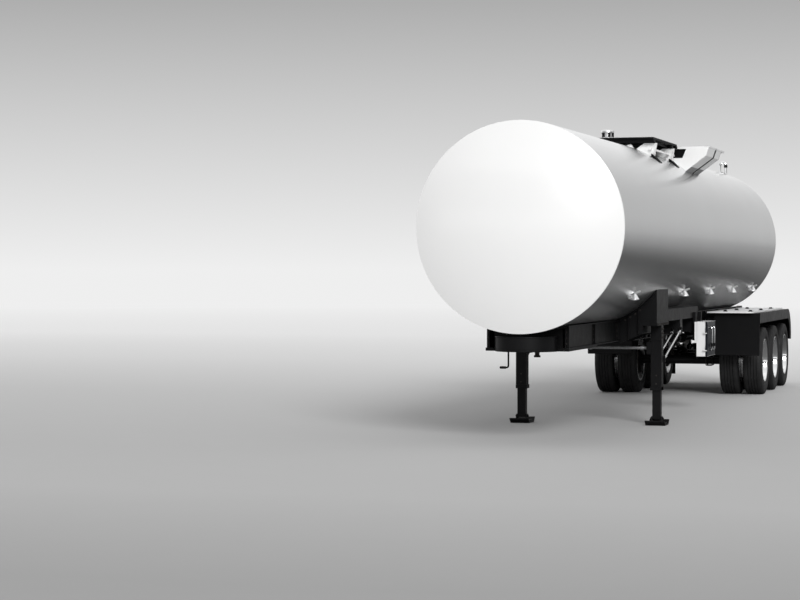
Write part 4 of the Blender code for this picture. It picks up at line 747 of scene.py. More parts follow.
BREATHER_PAD = ((0.0, -0.004), (0.060, -0.004), (0.060, 0.008), (0.028, 0.010), (0.024, 0.018), (0.0, 0.018))
CAP_DROP = 0.034
# Radius and height of the vent's flange, and radius and share of the whole height of its cap
VENT_FLANGE = ((0.0, 0.0), (0.085, 0.0), (0.085, 0.014), (0.062, 0.016), (0.058, 0.020))
VENT_CAP = ((0.058, 0.6), (0.080, 0.62), (0.085, 0.66), (0.085, 0.84), (0.078, 0.93), (0.050, 0.985),
            (0.0, 1.0))


def make_vents():
    """The relief vent's guarded cap on the walkway and the breather's dark end cap."""
    low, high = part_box("relief_vent")
    x = (low.x + high.x) / 2
    base = low.z
    tall = high.z - low.z
    cap = [(radius, share * tall) for radius, share in VENT_CAP]
    vent = Shape().lathe([*VENT_FLANGE, *cap], move(x, 0.0, base), 48)
    vent.bolts(circle((x, 0.0, base + 0.014), 0.073, 8, 22.5), (0, 0, 1), 0.006, 0.006)
    vent.build("relief_vent_body", "bright_plate", bevel=0.001, replaces=("relief_vent",))
    guard = Shape()
    for foot in circle((x, 0.0, base + 0.016), 0.066, 5, 31):
        guard.rod(foot, (foot[0], foot[1], foot[2] + 0.60 * tall), 0.015, 20)
    guard.build("relief_vent_guard", "bright_plate", "chassis_black")
    low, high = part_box("breather_pipe")
    x = (low.x + high.x) / 2
    radius = (high.x - low.x) / 2
    near, far = low.y + radius, high.y - radius
    half = (far - near) / 2
    crown = high.z - radius - half
    route = [(x, near, tank_z(near, True) - 0.005)]
    route += [(x, y, z) for y, z in arc((near + half, crown), half, 180, 0, 17)]
    route += [(x, far, crown - 0.052)]
    pipe = Shape().tube(route, radius, 24)
    pipe.lathe(BREATHER_PAD, move(x, near, tank_z(near, True)), 32)
    foot = tank_z(far, True)
    tall = crown - 0.050 - foot
    pipe.lathe([(0.0, 0.0), (0.030, 0.0), (0.030, 0.006), (radius, 0.008), (radius, tall), (0.0, tall)],
               move(x, far, foot), 24)
    cap = Shape().lathe([(0.0, 0.0), (radius + 0.001, 0.0), (radius + 0.005, 0.004), (radius + 0.005, 0.040),
                         (radius + 0.001, 0.044), (0.0, 0.044)], move(x, far, crown - CAP_DROP), 24)
    for k in range(6):
        cap.disc(radius + 0.0065, 0.006, 0.010, move(x, far, crown - CAP_DROP + 0.005 * k))
    pipe.build("breather_tube", "chrome", replaces=("breather_pipe",))
    cap.build("breather_cap", "chrome", "fender_black")


# Wheels and tyres, about the hub's middle, with the outer side at +Z
RIM_HALF = 0.309
STUDS = 10
STUD_CIRCLE = 0.1425
NUT_COLLAR = ((0, 0), (0.0245, 0), (0.0245, 0.004), (0.0175, 0.006), (0, 0.006))
NUT = ((0, 0.004), (0.0180, 0.004), (0.0175, 0.026), (0.0150, 0.031), (0, 0.033))
HUB_BOLT = ((0, 0), (0.0078, 0), (0.0078, 0.007), (0.0065, 0.009), (0, 0.009))
DUAL_OFFSET = 0.175
TREAD_PITCH = 0.0420
HAND_HOLES = 10
HAND_HOLE_CIRCLE = 0.212
HAND_HOLE_RADIUS = 0.029
WHEEL_STEPS = 96
OUTER_RIM = ((0.298, 0.297), (0.324, 0.297), (0.3275, 0.300), (0.3275, 0.306), (0.324, 0.309),
             (0.308, 0.3085), (0.299, 0.305), (0.293, 0.296), (0.289, 0.280), (0.2865, 0.255),
             (0.281, 0.243), (0.272, 0.236), (0.268, 0.226), (0.266, 0.190), (0.262, 0.172),
             (0.252, 0.163), (0.244, 0.161), (0.180, 0.160), (0.166, 0.163), (0.160, 0.169),
             (0.114, 0.169), (0.110, 0.165), (0.110, 0.150), (0.244, 0.146), (0.270, 0.158),
             (0.276, 0.180), (0.278, 0.226), (0.292, 0.250), (0.297, 0.275))
INNER_RIM = ((0.276, 0.150), (0.284, 0.150), (0.2985, 0.060), (0.2985, 0.045), (0.324, 0.045),
             (0.324, 0.036), (0.298, 0.036), (0.298, -0.040), (0.324, -0.040), (0.324, -0.050),
             (0.2985, -0.050), (0.2985, -0.297), (0.324, -0.297), (0.3275, -0.300), (0.3275, -0.306),
             (0.324, -0.309), (0.308, -0.3085), (0.293, -0.296), (0.287, -0.260), (0.272, -0.236),
             (0.268, -0.150), (0.268, -0.010), (0.276, 0.020))
HUB = ((0.0, 0.274), (0.048, 0.274), (0.058, 0.271), (0.066, 0.262), (0.069, 0.246), (0.070, 0.196),
       (0.092, 0.194), (0.096, 0.190), (0.097, 0.178), (0.104, 0.176), (0.1085, 0.170), (0.1085, 0.120),
       (0.0, 0.120))
DRUM = ((0.0515, -0.148), (0.205, -0.148), (0.214, -0.156), (0.2155, -0.180), (0.212, -0.186),
        (0.2155, -0.192), (0.2155, -0.222), (0.212, -0.228), (0.2155, -0.234), (0.2155, -0.300),
        (0.212, -0.308), (0.1985, -0.308), (0.1985, -0.200), (0.0515, -0.200))
TREAD_RIB = ((0.0, 0.505), (0.0140, 0.505), (0.0155, 0.5035), (0.0168, 0.491))
SIDEWALL = ((0.0960, 0.505, 0.0), (0.1065, 0.5035, 0.004), (0.118, 0.498, 0.006), (0.129, 0.489, 0.004),
            (0.1355, 0.477, 0.0), (0.1365, 0.470), (0.1385, 0.469), (0.1395, 0.462), (0.1385, 0.458),
            (0.1430, 0.438), (0.1450, 0.416), (0.1440, 0.398), (0.1400, 0.378), (0.1420, 0.374),
            (0.1410, 0.366), (0.1380, 0.362), (0.1290, 0.344), (0.1200, 0.333), (0.1150, 0.326),
            (0.1130, 0.3005))


def cut_holes(shape, count, reach, radius, depth, height):
    """The mesh of a shape with round holes cut through it along the local Z axis."""
    bmesh.ops.recalc_face_normals(shape.bm, faces=shape.bm.faces)
    mesh = bpy.data.meshes.new("rim")
    shape.bm.to_mesh(mesh)
    shape.bm.free()
    blank = bpy.data.objects.new("rim", mesh)
    drills = Shape()
    for spot in circle((0.0, 0.0, height), reach, count, 180 / count):
        drills.disc(radius, -depth, depth, move(*spot))
    bmesh.ops.recalc_face_normals(drills.bm, faces=drills.bm.faces)
    drill_mesh = bpy.data.meshes.new("drills")
    drills.bm.to_mesh(drill_mesh)
    drills.bm.free()
    drill = bpy.data.objects.new("drills", drill_mesh)
    for obj in (blank, drill):
        bpy.context.scene.collection.objects.link(obj)
    cut = blank.modifiers.new("cut", "BOOLEAN")
    cut.operation = "DIFFERENCE"
    cut.solver = "EXACT"
    cut.object = drill
    done = bpy.data.meshes.new_from_object(blank.evaluated_get(bpy.context.evaluated_depsgraph_get()))
    bpy.data.objects.remove(blank)
    bpy.data.objects.remove(drill)
    return done


def tyre_profile():
    """Five ribs parted by grooves, then the shoulder, sidewall and bead, and the same mirrored."""
    tread = []
    for rib in range(-2, 3):
        middle = rib * TREAD_PITCH
        if rib > -2:
            tread += [(middle - offset, radius) for offset, radius in reversed(TREAD_RIB[1:])]
        if rib < 2:
            tread += [(middle + offset, radius) for offset, radius in TREAD_RIB[1:]]
    tread = [point for point in tread if abs(point[0]) < 0.0955]
    side = [(radius, height, *notch) for height, radius, *notch in SIDEWALL]
    other = [(radius, -height, *notch) for radius, height, *notch in reversed(side)]
    return [*other, *[(radius, height) for height, radius in tread], *side]


def make_wheels():
    """Two rims, hub with nuts and bolts, drum and two tyres for each pair."""
    rim = cut_holes(Shape().lathe(OUTER_RIM, Matrix.Identity(4), WHEEL_STEPS, closed=True),
                    HAND_HOLES, HAND_HOLE_CIRCLE, HAND_HOLE_RADIUS, 0.05, 0.155)
    profile = tyre_profile()
    for axle in AXLES:
        for name, side in SIDES.items():
            low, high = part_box(f"wheel_{axle}_{name}")
            body = f"{axle}_{name}_wheels"
            turn = ALONG_Y if side > 0 else ALONG_MINUS_Y
            hub = move((low.x + high.x) / 2, (low.y + high.y) / 2, (low.z + high.z) / 2) @ turn
            tag = f"{axle}_{name}"
            outer = rim.copy()
            outer.transform(hub)
            add_piece(outer, "rim_outer_" + tag, body, "chrome", replaces=("wheel_" + tag,))
            Shape().lathe(INNER_RIM, hub, WHEEL_STEPS, closed=True).build(
                "rim_inner_" + tag, "chrome", "bright_plate", body=body)
            centre = Shape().lathe(HUB, hub, 64)
            for spot in circle((0.0, 0.0, 0.168), STUD_CIRCLE, STUDS, 0):
                centre.lathe(NUT_COLLAR, hub @ move(*spot), 24)
                centre.lathe(NUT, hub @ move(*spot), 6)
            for spot in circle((0.0, 0.0, 0.193), 0.0835, 8, 22.5):
                centre.lathe(HUB_BOLT, hub @ move(*spot), 6)
            centre.build("hub_" + tag, "chrome", bevel=0.0008, body=body)
            Shape().lathe(DRUM, hub, 72, closed=True).build(
                "brake_drum_" + tag, "chrome", "cast_iron", body=body)
            for place, shift in (("outer", DUAL_OFFSET), ("inner", -DUAL_OFFSET)):
                node = f"tyre_{tag}_{place}"
                Shape().lathe(profile, hub @ move(z=shift), WHEEL_STEPS + 24, closed=True).build(
                    f"tread_{tag}_{place}", "tyre_rubber", sharp=30, replaces=(node,), body=body)


# Fenders
FENDER_FRONT_X = -2.900
FENDER_REAR_X = -6.800
FENDER_INNER_Y = 0.615
FENDER_OUTER_Y = 1.290
FENDER_TOP_Z = 1.235
FENDER_SHEET = 0.015
FENDER_CORNER = 0.420
FENDER_SKIRT = 0.145
FENDER_LOW = (0.620, 0.740)
FENDER_ARM_X = (-3.100, -4.3825, -5.6175, -6.320)
DECK_PLATES = 3
DECK_SPLIT = 0.014
DECK_EDGE = 0.016
DECK_RIB = 0.0015
DECK_PITCH = 0.058
DECK_KNOB_Y = (0.770, 1.140)


def fender_corner(inset, count=24):
    centre = (FENDER_REAR_X + FENDER_CORNER, FENDER_TOP_Z - FENDER_CORNER)
    return arc(centre, FENDER_CORNER - inset, 90, 180, count)


def make_fenders():
    """Sheet shells on arms, with a rolled edge, and deck plates of grit between bright ribs whose white holds
    a painted sheen.
    """
    sheet = FENDER_SHEET
    bead = 0.003
    for name, side in SIDES.items():
        outer = [(FENDER_FRONT_X, FENDER_LOW[0]), (FENDER_FRONT_X, FENDER_TOP_Z)] + fender_corner(0.0)
        outer += [(FENDER_REAR_X, FENDER_LOW[1])]
        inner = [(FENDER_REAR_X + sheet, FENDER_LOW[1])] + list(reversed(fender_corner(sheet)))
        inner += [(FENDER_FRONT_X - sheet, FENDER_TOP_Z - sheet), (FENDER_FRONT_X - sheet, FENDER_LOW[0])]
        width = FENDER_OUTER_Y - sheet / 2 - FENDER_INNER_Y
        middle = side * (FENDER_INNER_Y + width / 2)
        fender = Shape().plate(outer + inner, middle, width)
        skirt = [(FENDER_FRONT_X + bead, z) for z in (FENDER_TOP_Z - FENDER_SKIRT, FENDER_TOP_Z + bead)]
        skirt += fender_corner(-bead) + [(FENDER_REAR_X - bead, FENDER_LOW[1] + bead)]
        skirt += [(FENDER_REAR_X + FENDER_SKIRT, FENDER_LOW[1] + bead)]
        skirt += list(reversed(fender_corner(FENDER_SKIRT)))
        fender.plate(skirt, side * (FENDER_OUTER_Y - sheet / 2), sheet)
        rolled = [(x, side * FENDER_OUTER_Y, z) for x, z in
                  [(FENDER_FRONT_X, FENDER_TOP_Z - FENDER_SKIRT)] + fender_corner(FENDER_SKIRT)]
        fender.tube([(x, y - side * 0.010, z) for x, y, z in rolled], 0.009, 10)
        ends = (FENDER_INNER_Y, FENDER_OUTER_Y - 0.01)
        fender.tube([(FENDER_FRONT_X - 0.007, side * y, FENDER_LOW[0]) for y in ends], 0.009, 10)
        root, top = RAIL_Y[1] + SEAM, FENDER_TOP_Z
        for x in FENDER_ARM_X:
            fender.bar(x, 0.030, (root, 0.660), (top - 0.075, top - 0.0075), side)
            fender.bar(x, 0.050, (root, 0.470), (top - 0.090, top - 0.002), side)
            for shift in (-0.035, 0.035):
                fender.bolt((x + shift, side * 0.470, top - 0.074), (0, side, 0), 0.009, 0.008)
            fender.bar(x, 0.020, (0.640, 1.280), (top - sheet - 0.030, top - sheet), side)
        fender.build("fender_shell_" + name, "fender_black", bevel=0.002,
                     replaces=("fender_" + name,))
        low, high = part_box("deck_plate_" + name)
        near, far = sorted((abs(low.y), abs(high.y)))
        step = (high.x - low.x + DECK_SPLIT) / DECK_PLATES
        plates = Shape()
        ribs = Shape()
        bolts = Shape()
        edge = DECK_EDGE
        for k in range(DECK_PLATES):
            start = low.x + k * step
            end = start + step - DECK_SPLIT
            plates.box((start + edge, near + edge, low.z),
                       (end - edge, far - edge, high.z - DECK_RIB), side)
            for x in (start, end - edge):
                ribs.box((x, near, low.z), (x + edge, far, high.z), side)
            for y in (near, far - edge):
                ribs.box((start + edge, y, low.z), (end - edge, y + edge, high.z), side)
            for x in spaced(start + DECK_PITCH, end - DECK_PITCH, int((end - start) / DECK_PITCH) - 1):
                ribs.bar(x, 0.004, (near + edge, far - edge), (high.z - 2 * DECK_RIB, high.z), side)
            for y in DECK_KNOB_Y:
                bolts.bolt((end - 0.16, side * y, high.z), (0, 0, 1), 0.026, 0.024)
            for x in (start + 0.045, end - 0.045):
                for y in (near + 0.05, (near + far) / 2, far - 0.05):
                    ribs.bolt((x, side * y, high.z - DECK_RIB), (0, 0, 1), 0.009, 0.004)
        plates.build("deck_grit_" + name, "bright_plate", "grit", replaces=("deck_plate_" + name,))
        ribs.build("deck_ribs_" + name, "bright_plate", "rib_painted_sheen")
        bolts.build("deck_knobs_" + name, "bright_plate", "fender_black")


def make_mud_flaps():
    """Ribbed rubber flaps on a bolted bar behind the fenders."""
    for name, side in SIDES.items():
        low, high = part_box("mud_flap_" + name)
        near, far = sorted((abs(low.y), abs(high.y)))
        flap = Shape().box((low.x + 0.003, near, low.z), (high.x - 0.003, far, high.z), side)
        for y in spaced(near + 0.03, far - 0.03, 18):
            flap.box((low.x, y - 0.006, low.z + 0.03), (high.x, y + 0.006, high.z - 0.13), side)
        flap.build("mud_flap_rubber_" + name, "flap_rubber", bevel=0.001, replaces=("mud_flap_" + name,))
        bar = Shape().box((low.x - 0.008, near, high.z - 0.060), (low.x + 0.003, far, high.z), side)
        bar.bolts([(low.x - 0.008, side * y, high.z - 0.030) for y in spaced(near + 0.05, far - 0.05, 5)],
                  (-1, 0, 0), 0.010, 0.009)
        bar.build("mud_flap_bar_" + name, "flap_rubber", "galvanised", bevel=0.001)


# Cabinet
CABINET_FACE_Y = 1.100
CABINET_FRONT_X = 0.950
CABINET_DEPTH = 0.137
CABINET_WALL = 0.012
BACK_PAD = 0.026
BACK_PAD_LOW_Z = 0.930
STRAP_WIDTH = 0.060
STRAP_FACE_Y = 0.912
DOOR_SHEET = 0.018
DOOR_EDGE_X = 0.945
DOOR_PIN = (0.968, 1.091)
HANDLE_SHARES = (0.35, 0.65)
HANDLE_HALF = 0.145
DOOR_WIDTH = 0.700
HANDLE_FOOT = ((0, 0), (0.019, 0), (0.019, 0.010), (0.015, 0.013), (0, 0.013))


def make_cabinet():
    """A white box with a back pad, hung on black straps, and a dark door with two bars."""
    low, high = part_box("cabinet_door")
    rear, front = low.x, CABINET_FRONT_X
    inner, outer = CABINET_FACE_Y - CABINET_DEPTH, CABINET_FACE_Y - DOOR_SHEET - 0.005
    wall = CABINET_WALL
    shell = Shape()
    shell.box((rear, inner, low.z), (front, inner + wall, high.z))
    shell.box((rear, inner - BACK_PAD, BACK_PAD_LOW_Z), (front, inner + wall / 2, high.z - 0.003))
    for z in (low.z, high.z - wall):
        shell.box((rear, inner + wall, z), (front, outer, z + wall))
    for x in (rear, front - wall):
        shell.box((x, inner + wall, low.z + wall), (x + wall, outer, high.z - wall))
    heights = [low.z + share * (high.z - low.z) for share in (0.25, 0.75)]
    for z in heights:
        shell.box((front - 0.006, outer - 0.024, z - 0.042), (front + 0.036, outer - 0.012, z - 0.031))
        shell.box((front, outer - 0.018, z - 0.042), (front + 0.036, DOOR_PIN[1] + 0.009, z - 0.031))
        shell.rod((*DOOR_PIN, z - 0.036), (*DOOR_PIN, z + 0.018), 0.0045, 16)
    shell.build("cabinet_shell", "white_paint", bevel=0.0015, replaces=("cabinet_body",))
    straps = Shape()
    for x in (rear + 0.10, front - 0.160):
        straps.box((x, BOLSTER_Y + SEAM, 0.971), (x + STRAP_WIDTH, inner - BACK_PAD - 0.0002, SIDE_RAIL_Z))
        straps.box((x - 0.02, BOLSTER_Y + SEAM, 1.262), (x + STRAP_WIDTH + 0.02, STRAP_FACE_Y, SIDE_RAIL_Z))
        straps.bolts([(x + STRAP_WIDTH / 2, STRAP_FACE_Y, z) for z in (1.278, 1.302)],
                     (0, 1, 0), 0.009, 0.008)
    straps.build("cabinet_straps", "white_paint", "chassis_black", bevel=0.0015)
    panel = Shape().box((rear, CABINET_FACE_Y - DOOR_SHEET, low.z), (DOOR_EDGE_X, CABINET_FACE_Y, high.z))
    panel.box((rear + 0.035, CABINET_FACE_Y - 0.004, low.z + 0.035),
              (DOOR_EDGE_X - 0.035, CABINET_FACE_Y + 0.003, high.z - 0.035))
    for z in heights:
        panel.band(0.005, 0.009, -0.030, 0.030, move(*DOOR_PIN, z), 20)
        panel.box((DOOR_EDGE_X - 0.015, DOOR_PIN[1] - 0.0027, z - 0.024),
                  (DOOR_PIN[0] - 0.006, DOOR_PIN[1] + 0.0027, z + 0.024))
        panel.bolt((DOOR_EDGE_X - 0.02, CABINET_FACE_Y + 0.003, z), (0, 1, 0), 0.007, 0.005)
    panel.build("cabinet_door_panel", "door_black", bevel=0.002, replaces=("cabinet_door",), body="door")
    trim = Shape()
    for z in (low.z, high.z - 0.005):
        trim.box((rear, CABINET_FACE_Y, z), (DOOR_EDGE_X, CABINET_FACE_Y + 0.004, z + 0.005))
    trim.build("cabinet_door_trim", "door_black", "bright_plate", body="door")
    middle = (low.z + high.z) / 2
    low_end, high_end = middle - HANDLE_HALF, middle + HANDLE_HALF
    back, reach = CABINET_FACE_Y - 0.004, CABINET_FACE_Y + 0.029
    bars = Shape()
    feet = Shape()
    for share in HANDLE_SHARES:
        x = rear + share * DOOR_WIDTH
        route = [(x, back, low_end), (x, reach, low_end), (x, reach, high_end), (x, back, high_end)]
        bars.tube(bend(route, 0.018), 0.011)
        for z in (low_end, high_end):
            feet.lathe(HANDLE_FOOT, move(x, CABINET_FACE_Y, z) @ ALONG_Y, 24)
        feet.bar(x, 0.014, (CABINET_FACE_Y + 0.013, CABINET_FACE_Y + 0.0405),
                 (middle - 0.105, middle - 0.060))
    bars.build("door_handle_bars", "door_black", "chrome", body="door")
    feet.build("door_handle_feet", "door_black", "chassis_black", bevel=0.001, body="door")


# Frames and coupler
FRAME_BOTTOM = 1.000
FRAME_TOP = 1.275
RAIL_Y = (0.380, 0.460)
WEB = 0.012
FRAME_FLANGE = 0.014
MEMBER = 0.080
MEMBER_WALL = 0.010
COUPLER_REACH = 0.340
COUPLER_FRONT_X = 6.400
NOSE_HALF = 0.330
NOSE_Z = (0.020, 0.165)
KINGPIN_X = 5.920
KINGPIN = ((0.0, 0.0), (0.110, 0.0), (0.110, -0.006), (0.104, -0.010), (0.050, -0.012), (0.0365, -0.016),
           (0.0365, -0.028), (0.0345, -0.030), (0.0254, -0.033), (0.0254, -0.060), (0.0345, -0.063),
           (0.0365, -0.065), (0.0365, -0.080), (0.0330, -0.084), (0.0, -0.084))
# Where arms carry the box rails
RAIL_ARM_X = (1.780, 0.700)
# Half-way up the side rails
SIDE_RAIL_Z = 1.3185


def under_tank(y, top=FRAME_TOP, gap=0.002):
    return min(top, tank_z(y) - gap)


def make_frame(node, bays):
    """I-beam rails tied by channel members that dip under the tank, with bolts at each joint."""
    low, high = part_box(node)
    bottom = low.z
    frame = Shape()
    bolts = Shape()
    inner, outer = RAIL_Y
    middle = (inner + outer) / 2
    heights = (bottom + FRAME_FLANGE, FRAME_TOP - FRAME_FLANGE)
    for side in SIDES.values():
        top = [(y, under_tank(y)) for y in spaced(inner, outer, 4)]
        below = [(y, z - FRAME_FLANGE) for y, z in reversed(top)]
        web = [(middle + WEB / 2, bottom + FRAME_FLANGE), (middle - WEB / 2, bottom + FRAME_FLANGE)]
        web += [(y, under_tank(y) - FRAME_FLANGE) for y in (middle - WEB / 2, middle + WEB / 2)]
        foot = [(inner, bottom), (outer, bottom)]
        foot += [(y, bottom + FRAME_FLANGE) for y in (outer, inner)]
        for outline in (top + below, web, foot):
            frame.slab(outline, (low.x + high.x) / 2, high.x - low.x, side)
    pitch = (high.x - low.x - MEMBER) / bays
    for k in range(bays + 1):
        start = low.x + k * pitch
        crown = [(y, under_tank(y)) for y in spaced(-inner, inner, 17)]
        edge = [(y, z - MEMBER_WALL) for y, z in reversed(crown)]
        frame.slab(crown + edge, start + MEMBER / 2, MEMBER)
        web = edge[::-1] + [(inner, bottom + MEMBER_WALL), (-inner, bottom + MEMBER_WALL)]
        frame.slab(web, start + MEMBER_WALL / 2, MEMBER_WALL)
        frame.box((start, -inner, bottom), (start + MEMBER, inner, bottom + MEMBER_WALL))
        for side in SIDES.values():
            for z in spaced(bottom + 0.060, FRAME_TOP - 0.070, 3):
                for x in (start + 0.022, start + MEMBER - 0.022):
                    bolts.bolt((x, side * (middle + WEB / 2), z), (0, side, 0), 0.010, 0.008)
            frame.bar(start + 0.040, 0.006, (middle + WEB / 2, outer - 0.006), heights, side)
    for x in (*FENDER_ARM_X, *RAIL_ARM_X):
        if low.x < x < high.x:
            for side in SIDES.values():
                frame.bar(x, 0.050, (middle + WEB / 2, outer), heights, side)
    frame.build(node + "_beams", "chassis_black", bevel=0.002, replaces=(node,))
    bolts.build(node + "_bolts", "chassis_black", "cast_iron")


def make_coupler():
    """The bed plate with its rounded nose box, and the turned kingpin in its bolted flange."""
    low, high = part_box("upper_coupler")
    front = COUPLER_FRONT_X
    half = RAIL_Y[1]
    bed = [(low.x, -half), (front, -half)] + arc((front, 0.0), COUPLER_REACH, -90, 90, 33)
    bed += [(front, half), (low.x, half)]
    body = Shape().prism(bed, move(z=FRAME_BOTTOM + 0.010), 0.020)
    nose = arc((front + SEAM, 0.0), COUPLER_REACH, -75, 75, 33)
    nose = [(front + SEAM, -NOSE_HALF), *nose, (front + SEAM, NOSE_HALF)]
    body.prism(nose, move(z=FRAME_BOTTOM + sum(NOSE_Z) / 2), NOSE_Z[1] - NOSE_Z[0])
    rim = arc((front, 0.0), COUPLER_REACH - 0.002, -88, 88, 25)
    body.tube([(x, y, high.z - 0.008) for x, y in rim], 0.008, 10)
    for y in spaced(-0.34, 0.34, 5):
        body.box((low.x + 0.06, y - 0.004, FRAME_BOTTOM - 0.006),
                 (KINGPIN_X - 0.28, y + 0.004, FRAME_BOTTOM + 0.001))
    body.build("coupler_bed", "chassis_black", bevel=0.003, replaces=("upper_coupler",))
    pin = Shape().lathe(KINGPIN, move(KINGPIN_X, 0.0, FRAME_BOTTOM), 48)
    pin.bolts(circle((KINGPIN_X, 0.0, FRAME_BOTTOM - 0.010), 0.080, 8, 22.5), (0, 0, -1), 0.009, 0.008)
    pin.build("kingpin_turned", "chassis_black", "cast_iron", bevel=0.0006)


# Bolster, side rails and braces
BOLSTER_X = (2.750, 3.540)
BOLSTER_Y = 0.900
LEG_SEAT_Z = 1.207
# Rise of the bolster's lower edge for each metre outward
WING_SLOPE = 0.425
SIDE_RAIL_DEPTH = 0.143


def make_bolster_trim():
    """Flanges, ribs and bolts on the cradle, and the saddle strip under the tank."""
    trim = Shape()
    bolts = Shape()
    rear, front = BOLSTER_X
    for side in SIDES.values():
        trim.box((rear, BOLSTER_Y, LEG_SEAT_Z), (front, BOLSTER_Y + 0.008, LEG_SEAT_Z + 0.034), side)
        for x in spaced(rear + 0.05, front - 0.05, 8):
            bolts.bolt((x, side * (BOLSTER_Y + 0.008), LEG_SEAT_Z + 0.017), (0, side, 0), 0.010, 0.009)
        for face, ahead in ((front, 1), (rear, -1)):
            for y in (0.560, 0.680) if ahead > 0 else (0.620,):
                foot = FRAME_BOTTOM + (y - RAIL_Y[1]) * WING_SLOPE + 0.02
                x0, x1 = sorted((face, face + ahead * 0.036))
                trim.box((x0, y - 0.005, foot), (x1, y + 0.005, tank_z(y) - 0.02), side)
            lip = [(y, tank_z(y) - 0.002) for y in spaced(0.470, 0.880, 12)]
            lip += [(y, z - 0.010) for y, z in reversed(lip)]
            trim.slab(lip, face + ahead * 0.018, 0.036, side)
        bolts.bolts([(front, side * y, tank_z(y) - 0.045) for y in spaced(0.520, 0.700, 4)],
                    (1, 0, 0), 0.009, 0.008)
    trim.build("bolster_flanges", "chassis_black", bevel=0.0015)
    bolts.build("bolster_bolts", "chassis_black", "cast_iron")


def make_side_rail_trim():
    """End caps, seams and bolts on the box rails and their arms."""
    trim = Shape()
    bolts = Shape()
    for name, side in SIDES.items():
        low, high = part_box("side_rail_" + name)
        bottom = high.z - SIDE_RAIL_DEPTH
        trim.box((low.x - 0.006, 0.672, bottom + 0.008), (low.x + 0.002, 0.892, high.z - 0.008), side)
        for z in (bottom, high.z - 0.012):
            trim.box((low.x, BOLSTER_Y - 0.002, z), (high.x, BOLSTER_Y + 0.0025, z + 0.012), side)
        for x in RAIL_ARM_X:
            trim.bar(x, 0.108, (0.4605, 0.472), (1.050, bottom + 0.010), side)
            for shift in (-0.094, 0.094):
                bolts.bolts([(x + shift, side * 0.472, z) for z in (1.080, 1.155, 1.230)],
                            (0, side, 0), 0.009, 0.008)
        for z in (bottom + 0.035, high.z - 0.035):
            bolts.bolts([(low.x - 0.006, side * y, z) for y in (0.720, 0.850)], (-1, 0, 0), 0.008, 0.007)
    trim.build("side_rail_trim", "chassis_black", bevel=0.001)
    bolts.build("side_rail_bolts", "chassis_black", "cast_iron")


BRACE_Y = (0.8175, 0.9025)
BRACE_RADIUS = 0.014


def make_braces():
    """Chrome rods in threaded clevises between black lugs."""
    for name, side in SIDES.items():
        low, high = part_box("leg_brace_" + name)
        start = Vector((high.x - 0.015, 0.0, low.z + 0.040))
        end = Vector((low.x + 0.015, 0.0, high.z - 0.040))
        along = (end - start).normalized()
        rods = Shape()
        lugs = Shape()
        for y in BRACE_Y:
            a = start + Vector((0.0, side * y, 0.0))
            b = end + Vector((0.0, side * y, 0.0))
            rods.rod(a + along * 0.02, b - along * 0.02, BRACE_RADIUS, 28)
            for foot, way in ((a, along), (b, -along)):
                rods.rod(foot + way * 0.030, foot + way * 0.105, BRACE_RADIUS + 0.004, 28)
                rods.rod(foot + way * 0.105, foot + way * 0.122, BRACE_RADIUS + 0.008, 6)
                lugs.rod(foot - Vector((0, 0.024, 0)), foot + Vector((0, 0.024, 0)), 0.010, 16)
                for shift in (-0.019, 0.013):
                    spot = foot + Vector((0, shift, 0))
                    lugs.bar(spot.x, 0.016, (spot.y, spot.y + 0.006), (spot.z - 0.034, spot.z + 0.034))
        rods.build("brace_rods_" + name, "chrome", replaces=("leg_brace_" + name,))
        for x0, x1, z in ((high.x - 0.010, high.x, start.z), (low.x, low.x + 0.010, end.z)):
            lugs.box((x0, abs(low.y if side > 0 else high.y), z - 0.040),
                     (x1, abs(high.y if side > 0 else low.y), z + 0.040), side)
        lugs.build("brace_lugs_" + name, "chrome", "chassis_black", bevel=0.001)


# Landing gear
LEG_X = 3.150
LEG_Y = 0.835
LEG_HALF = 0.065
LEG_LOW = 0.420
GEAR_Z = 0.930
GEAR_HALF = 0.075
GEAR_REACH = 0.050
GEAR_CAP = ((0.0, 0.0), (0.046, 0.0), (0.046, 0.004), (0.030, 0.008), (0.026, 0.012), (0.0, 0.012))
CRANK_Y = 1.010
CRANK_END_Y = 1.120
CRANK_DROP = 0.260
CRANK_HUB = ((0.0, 0.0), (0.024, 0.0), (0.024, 0.020), (0.017, 0.030), (0.0, 0.030))
CRANK_GRIP = ((0.011, 0.0), (0.016, 0.002), (0.0155, 0.030), (0.017, 0.032), (0.0155, 0.060),
              (0.0165, 0.074), (0.011, 0.076))
SHOE_OUTLINE = ((-0.170, 0.045), (-0.1133, 0.0), (0.1133, 0.0), (0.170, 0.045), (0.170, 0.063),
                (0.1133, 0.018), (-0.1133, 0.018), (-0.170, 0.063))
SHOE_CHEEK = ((-0.075, 0.018), (0.075, 0.018), (0.035, 0.105), (-0.035, 0.105))
SHOE_WIDTH = 0.240


